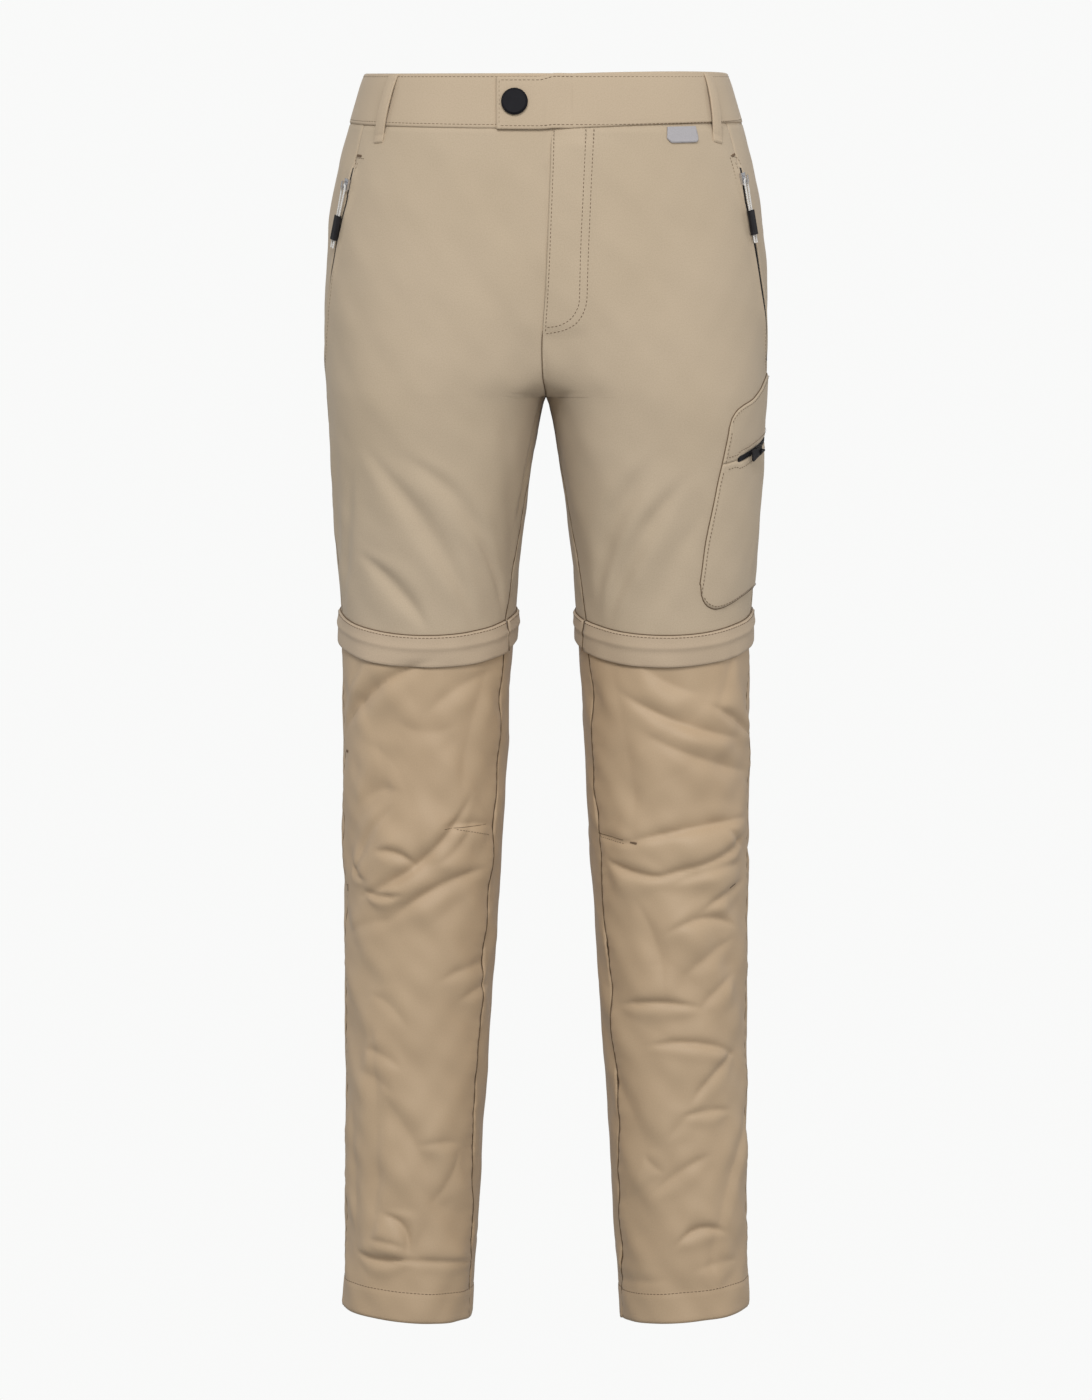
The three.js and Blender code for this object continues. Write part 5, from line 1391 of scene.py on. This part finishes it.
# The darts at the knees, as dark cords of painted shade.
for pixels in ([(444, 826.5), (464, 824.5), (487, 821.5)], [(598, 830), (611, 834), (624, 837)]):
    spots = [from_pixel(*pixel) for pixel in pixels]
    t, knots = np.linspace(0, 1, 30), np.linspace(0, 1, len(spots))
    a, z = (np.interp(t, knots, [spot[i] for spot in spots]) for i in (1, 2))
    SEAM_SHADE_CORDS.cord(spots[0][0], a, z, -0.12, 0.3)
SEAM_SHADE_CORDS.make("seam_shade_cords", SEAM_SHADE_LINE)


# Topstitching: separate threads laid along lines on the cloth. Their brown is the thread's own colour, darkened
# with painted shade of the stitch holes.
STITCHES = Cluster()
STITCH_RISE = 0.08
RING_STITCH = {"length": 2.5, "gap": 0.8, "thick": 0.34, "high": 0.26, "rise": 0}


def lay_stitches(frames, length=2.5, gap=1.15, thick=0.3, high=None, rise=STITCH_RISE):
    where, arcs = walk(frames[0], (length + gap) * MM)
    points, along, across, out = (at_arc(arcs, values, where) for values in frames)
    places = points + rise * MM * out, along, across, out
    STITCHES.beads(places, length / 2, thick, high or thick * 0.75)


def stitch_line(path, *sizes, points=240, **more):
    lay_stitches(line_frames(*path(np.linspace(0, 1, points))), *sizes, **more)


# A short bar of close stitches: turn is its direction in degrees, 0 across and 90 up.
BARTACK = {"pitch": 0.75, "half_width": 1.1, "thick": 0.34, "high": 0.3, "above": 2.0, "sunk": 1.65}


def bartack(side, a, z, turn, length):
    t = np.linspace(-0.5, 0.5, int(length / BARTACK["pitch"])) * length
    ca, cz = math.cos(math.radians(turn)), math.sin(math.radians(turn))
    a, z, above = a + t * ca, z + t * cz, BARTACK["above"]
    centres = surface(side, a, z, above)
    along = unit(surface(side, a - cz, z + ca, above) - centres)
    out = unit(surface(side, a, z, above + 1.5) - centres)
    places = centres - BARTACK["sunk"] * MM * out, along, np.cross(out, along), out
    STITCHES.beads(places, *(BARTACK[key] for key in ("half_width", "thick", "high")))


# A place on the band from its position ahead at the waist and its share down.
def band_place(ahead, share, lift):
    z = mix(band_top(ahead), band_seam(ahead), share)
    front, back = ahead + LEVELS.mark(0, z) - WAIST_FRONT, ahead * LEVELS.mark(4, z) / WAIST_BACK
    a = np.where(ahead > 0, front, back)
    return a, z, np.full_like(a, lift)


# Round the waistband, near its top and bottom edges and along its elastic.
for side in (-1, 1):
    start = WAIST_FRONT - (24 if side > 0 else 3)
    lines = [(share, *ends, 0.5) for share in BAND_STITCH_SHARES for ends in ((start, 6), (-4, WAIST_BACK + 1))]
    lines += [(share, -26, -120, 0.85) for share in ELASTIC_SHARES]
    for share, low, high, lift in lines:
        def band_line(v, side=side, share=share, low=low, high=high, lift=lift):
            return (side, *band_place(mix(low, high, v), share, lift))

        stitch_line(band_line)


# Round the button tab: along its top and bottom and up its end.
def tab_stitches(q, share):
    z = tab_heights(q, share)
    lay_stitches(line_frames(np.where(q < 0, -1.0, 1.0), LEVELS.mark(0, z) - np.abs(q), z, 0.5 + tab_lift(q)))


TAB_STITCH_END = -38.6
for share in BAND_STITCH_SHARES:
    tab_stitches(np.linspace(23, TAB_STITCH_END, 180), share)
tab_stitches(np.full(60, TAB_STITCH_END), np.linspace(*BAND_STITCH_SHARES, 60))

# The two lines of the fly's curved stitch, and the stitch along its edge.
FLY_STITCH = {"length": 2.0, "gap": 1.4}
FLY_STITCH_PIXELS = [
    [
        (585.5, 130), (583.4, 180), (581, 232), (579.8, 270), (579.2, 299),
        (575, 312), (567, 320.5), (556, 325), (545.7, 326),
    ],
    [
        (593.5, 130), (591, 180), (588.8, 232), (587.4, 270), (586.5, 299),
        (582.5, 313), (575, 323), (562, 329.5), (545.7, 332.5),
    ],
]


def fly_lift(a, z):
    inward = LEVELS.mark(0, z) - fly_edge(z) - a
    return 0.02 + fly_share(z) * (1 - smooth(-39, -26, z)) * fly_raise(inward)


for pixels in FLY_STITCH_PIXELS:
    columns, rows = (curve_through(np.linspace(0, 1, len(pixels)), values) for values in zip(*pixels))
    spots = [from_pixel(float(columns(t)), float(rows(t))) for t in np.linspace(0, 1, 60)]
    left = [(1, *spot[1:]) for spot in spots]
    stitch_line(path_through(left, fly_lift), **FLY_STITCH)

z = np.linspace(-30, FLY_END_Z + 2, 120)
a = LEVELS.mark(0, z) - fly_edge(z) - 2.2
lay_stitches(line_frames(*fold_over(1.0, a, z), z, fly_lift(a, z)), **FLY_STITCH)

# Beside each pocket zip on the front panel, round the top of each zip-off flap, and round each hem.
POCKET_STITCH_IN = 4.6
for side in (-1, 1):
    def pocket_edge(v, side=side):
        z = mix(-58, -236, v)
        return side, POCKET["ahead"](z) + POCKET_STITCH_IN, z, lip(z, POCKET_STITCH_IN)

    def flap_path(v, side=side):
        a = mix(KNEE_FRONT - 2, KNEE_BACK + 2, v)
        return side, a, flap_top(a) - 1.9, FLAP_BASE + flap_rise(1.9)

    def hem_path(v, side=side):
        a = mix(float(LEVELS.mark(0, HEM_Z)) - 1, float(LEVELS.mark(4, HEM_Z)) + 1, v)
        return side, a, hem_z(a) + HEM_DEPTH + 0.2, 0

    stitch_line(pocket_edge, 2.3, 1.1, 0.26)
    for ring in (flap_path, hem_path):
        stitch_line(ring, points=500, **RING_STITCH)

# Darts, the ends of the pockets and the bartacks, placed by pixels of the photograph.
SHORT_STITCH_PIXELS = [
    [(456, 826.5), (472, 829), (489, 832)], [(600, 834), (612, 837.5), (624, 840.5)],
    [(355.5, 174), (347, 216), (341, 246), (336, 265)],
    [(727.5, 158), (731, 170), (734, 181)], [(728, 157), (736, 159.5)], [(736, 160), (740, 172)],
    [(357, 160), (357.5, 170)], [(357, 158.5), (366, 160)],
]
for pixels in SHORT_STITCH_PIXELS:
    stitch_line(path_through([from_pixel(*pixel) for pixel in pixels], 0.05), 1.8, 1.1)
BARTACK_PIXELS = [
    [348, 748, 0, 5], [347.5, 885, 90, 5], [733, 883.5, 18, 8], [634, 840, -8, 6],
    [361, 157, -8, 7], [731, 156.5, 20, 6],
]
for px, py, turn, length in BARTACK_PIXELS:
    side, a, z = from_pixel(px, py)
    bartack(side, a, z, turn if side < 0 else 180 - turn, length)

# Round the cargo pocket and along its zip, a little inside the edges.
INSIDE, CARGO_STITCH_LIFT = 2.4, 2.15
BACK_LINE = CARGO_BACK + INSIDE
u = np.linspace(0, 1, 140)
top_a, foot_a = mix(BACK_LINE, float(CARGO_FRONT_EDGE(-285)) - INSIDE, u), mix(98, BACK_LINE, u)
lines = [(top_a, CARGO_TOP(top_a) - INSIDE), (foot_a, CARGO_BOTTOM(foot_a) + INSIDE)]
for z in (mix(-286, -312, u), mix(-320, -424, u)):
    lines.append((CARGO_FRONT_EDGE(z) - INSIDE, z))
for z in (mix(-266, -284, u), mix(-292, -404, u)):
    lines.append((np.full_like(z, BACK_LINE), z))
zip_a = mix(CARGO_BACK + 6, 92, u)
lines += [(zip_a, above_slot(zip_a) + 5), (zip_a, below_slot(zip_a) - 5)]
for a, z in lines:
    lay_stitches(line_frames(1, a, z, CARGO_STITCH_LIFT), 2.0, 1.4)
STITCHES.make("topstitching_and_hole_shade", THREAD_AND_HOLE_SHADE)

# CAD pieces whose shape is right keep it and get a finish.
for node, material in (
    ("pocket_slider_right", METAL), ("pocket_slider_left", METAL), ("cargo_slider", COIL),
    ("cargo_pull", GRIP), ("pull_cord_right", BRAID), ("pull_cord_left", BRAID),
    ("pull_grip_right", GRIP), ("pull_grip_left", GRIP), ("snap_button", BUTTON),
):
    cad = bpy.data.objects[node]
    if not cad.material_slots:
        cad.data.materials.append(material)
    for place in cad.material_slots:
        place.material = material


# The studio: a pale floor, even soft light from the front and above, and the photograph's camera.
FLOOR_Z, FLOOR_HALF = -1.24, 40
PALE, AMBIENT = (0.947, 0.95, 0.945, 1.0), 0.36

pale = bpy.data.materials.new("pale_floor")
pale.use_nodes = True
nodes, links = pale.node_tree.nodes, pale.node_tree.links
nodes.remove(nodes["Principled BSDF"])
glow = nodes.new("ShaderNodeEmission")
glow.inputs["Color"].default_value, glow.inputs["Strength"].default_value = PALE, 1.0
links.new(glow.outputs["Emission"], nodes["Material Output"].inputs["Surface"])

floor_mesh = bpy.data.meshes.new("floor")
corners = [(x * FLOOR_HALF, y * FLOOR_HALF, FLOOR_Z) for x, y in ((-1, -1), (1, -1), (1, 1), (-1, 1))]
floor_mesh.from_pydata(corners, [], [(0, 1, 2, 3)])
floor = bpy.data.objects.new("floor", floor_mesh)
floor.data.materials.append(pale)
floor.visible_diffuse = floor.visible_glossy = False
bpy.context.scene.collection.objects.link(floor)
floor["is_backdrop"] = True

world = bpy.data.worlds.new("studio")
bpy.context.scene.world = world
world.use_nodes = True
nodes, links = world.node_tree.nodes, world.node_tree.links
lit, seen = nodes["Background"], nodes.new("ShaderNodeBackground")
for background, strength in ((lit, AMBIENT), (seen, 1.0)):
    background.inputs["Color"].default_value = PALE
    background.inputs["Strength"].default_value = strength
choose, rays = nodes.new("ShaderNodeMixShader"), nodes.new("ShaderNodeLightPath")
for output, wire in (
    (rays.outputs["Is Camera Ray"], choose.inputs[0]),
    (lit.outputs["Background"], choose.inputs[1]),
    (seen.outputs["Background"], choose.inputs[2]),
    (choose.outputs["Shader"], nodes["World Output"].inputs["Surface"]),
):
    links.new(output, wire)

# Each light's name, place, size and watts. All face the middle of the trousers.
AIM = Vector((0, 0, -0.5))
for name, place, size, watts in (
    ("key", (-0.5, -3.2, 2.1), (1.8, 1.4), 85),
    ("fill", (1.5, -3.5, 0.7), (1.4, 2.0), 40),
    ("side_left", (-2.4, 0.4, 0.0), (0.6, 2.6), 9),
    ("side_right", (2.4, 0.4, 0.0), (0.6, 2.6), 9),
    ("behind", (0, 3.2, 0.9), (2.6, 2.0), 34),
):
    data = bpy.data.lights.new(name, "AREA")
    data.shape, data.size, data.size_y, data.energy = "RECTANGLE", size[0], size[1], watts
    light = bpy.data.objects.new(name, data)
    light.location = place
    light.rotation_mode = "QUATERNION"
    light.rotation_quaternion = (AIM - Vector(place)).to_track_quat("-Z", "Y")
    bpy.context.scene.collection.objects.link(light)

CAMERA_PITCH, FOCAL_PIXELS, PHOTO_HEIGHT, SENSOR = 4.29, 4620, 1400, 36
camera_data = bpy.data.cameras.new("camera")
camera_data.sensor_width = SENSOR
camera_data.lens = FOCAL_PIXELS * SENSOR / PHOTO_HEIGHT
camera = bpy.data.objects.new("camera", camera_data)
camera.location = (0, -PHOTO["distance"] * MM, PHOTO["eye_z"] * MM)
camera.rotation_euler = (math.radians(90 - CAMERA_PITCH), 0, 0)
bpy.context.scene.collection.objects.link(camera)
bpy.context.scene.camera = camera
bpy.context.scene.view_settings.view_transform = "Standard"

low, high = (list(corner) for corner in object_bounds())
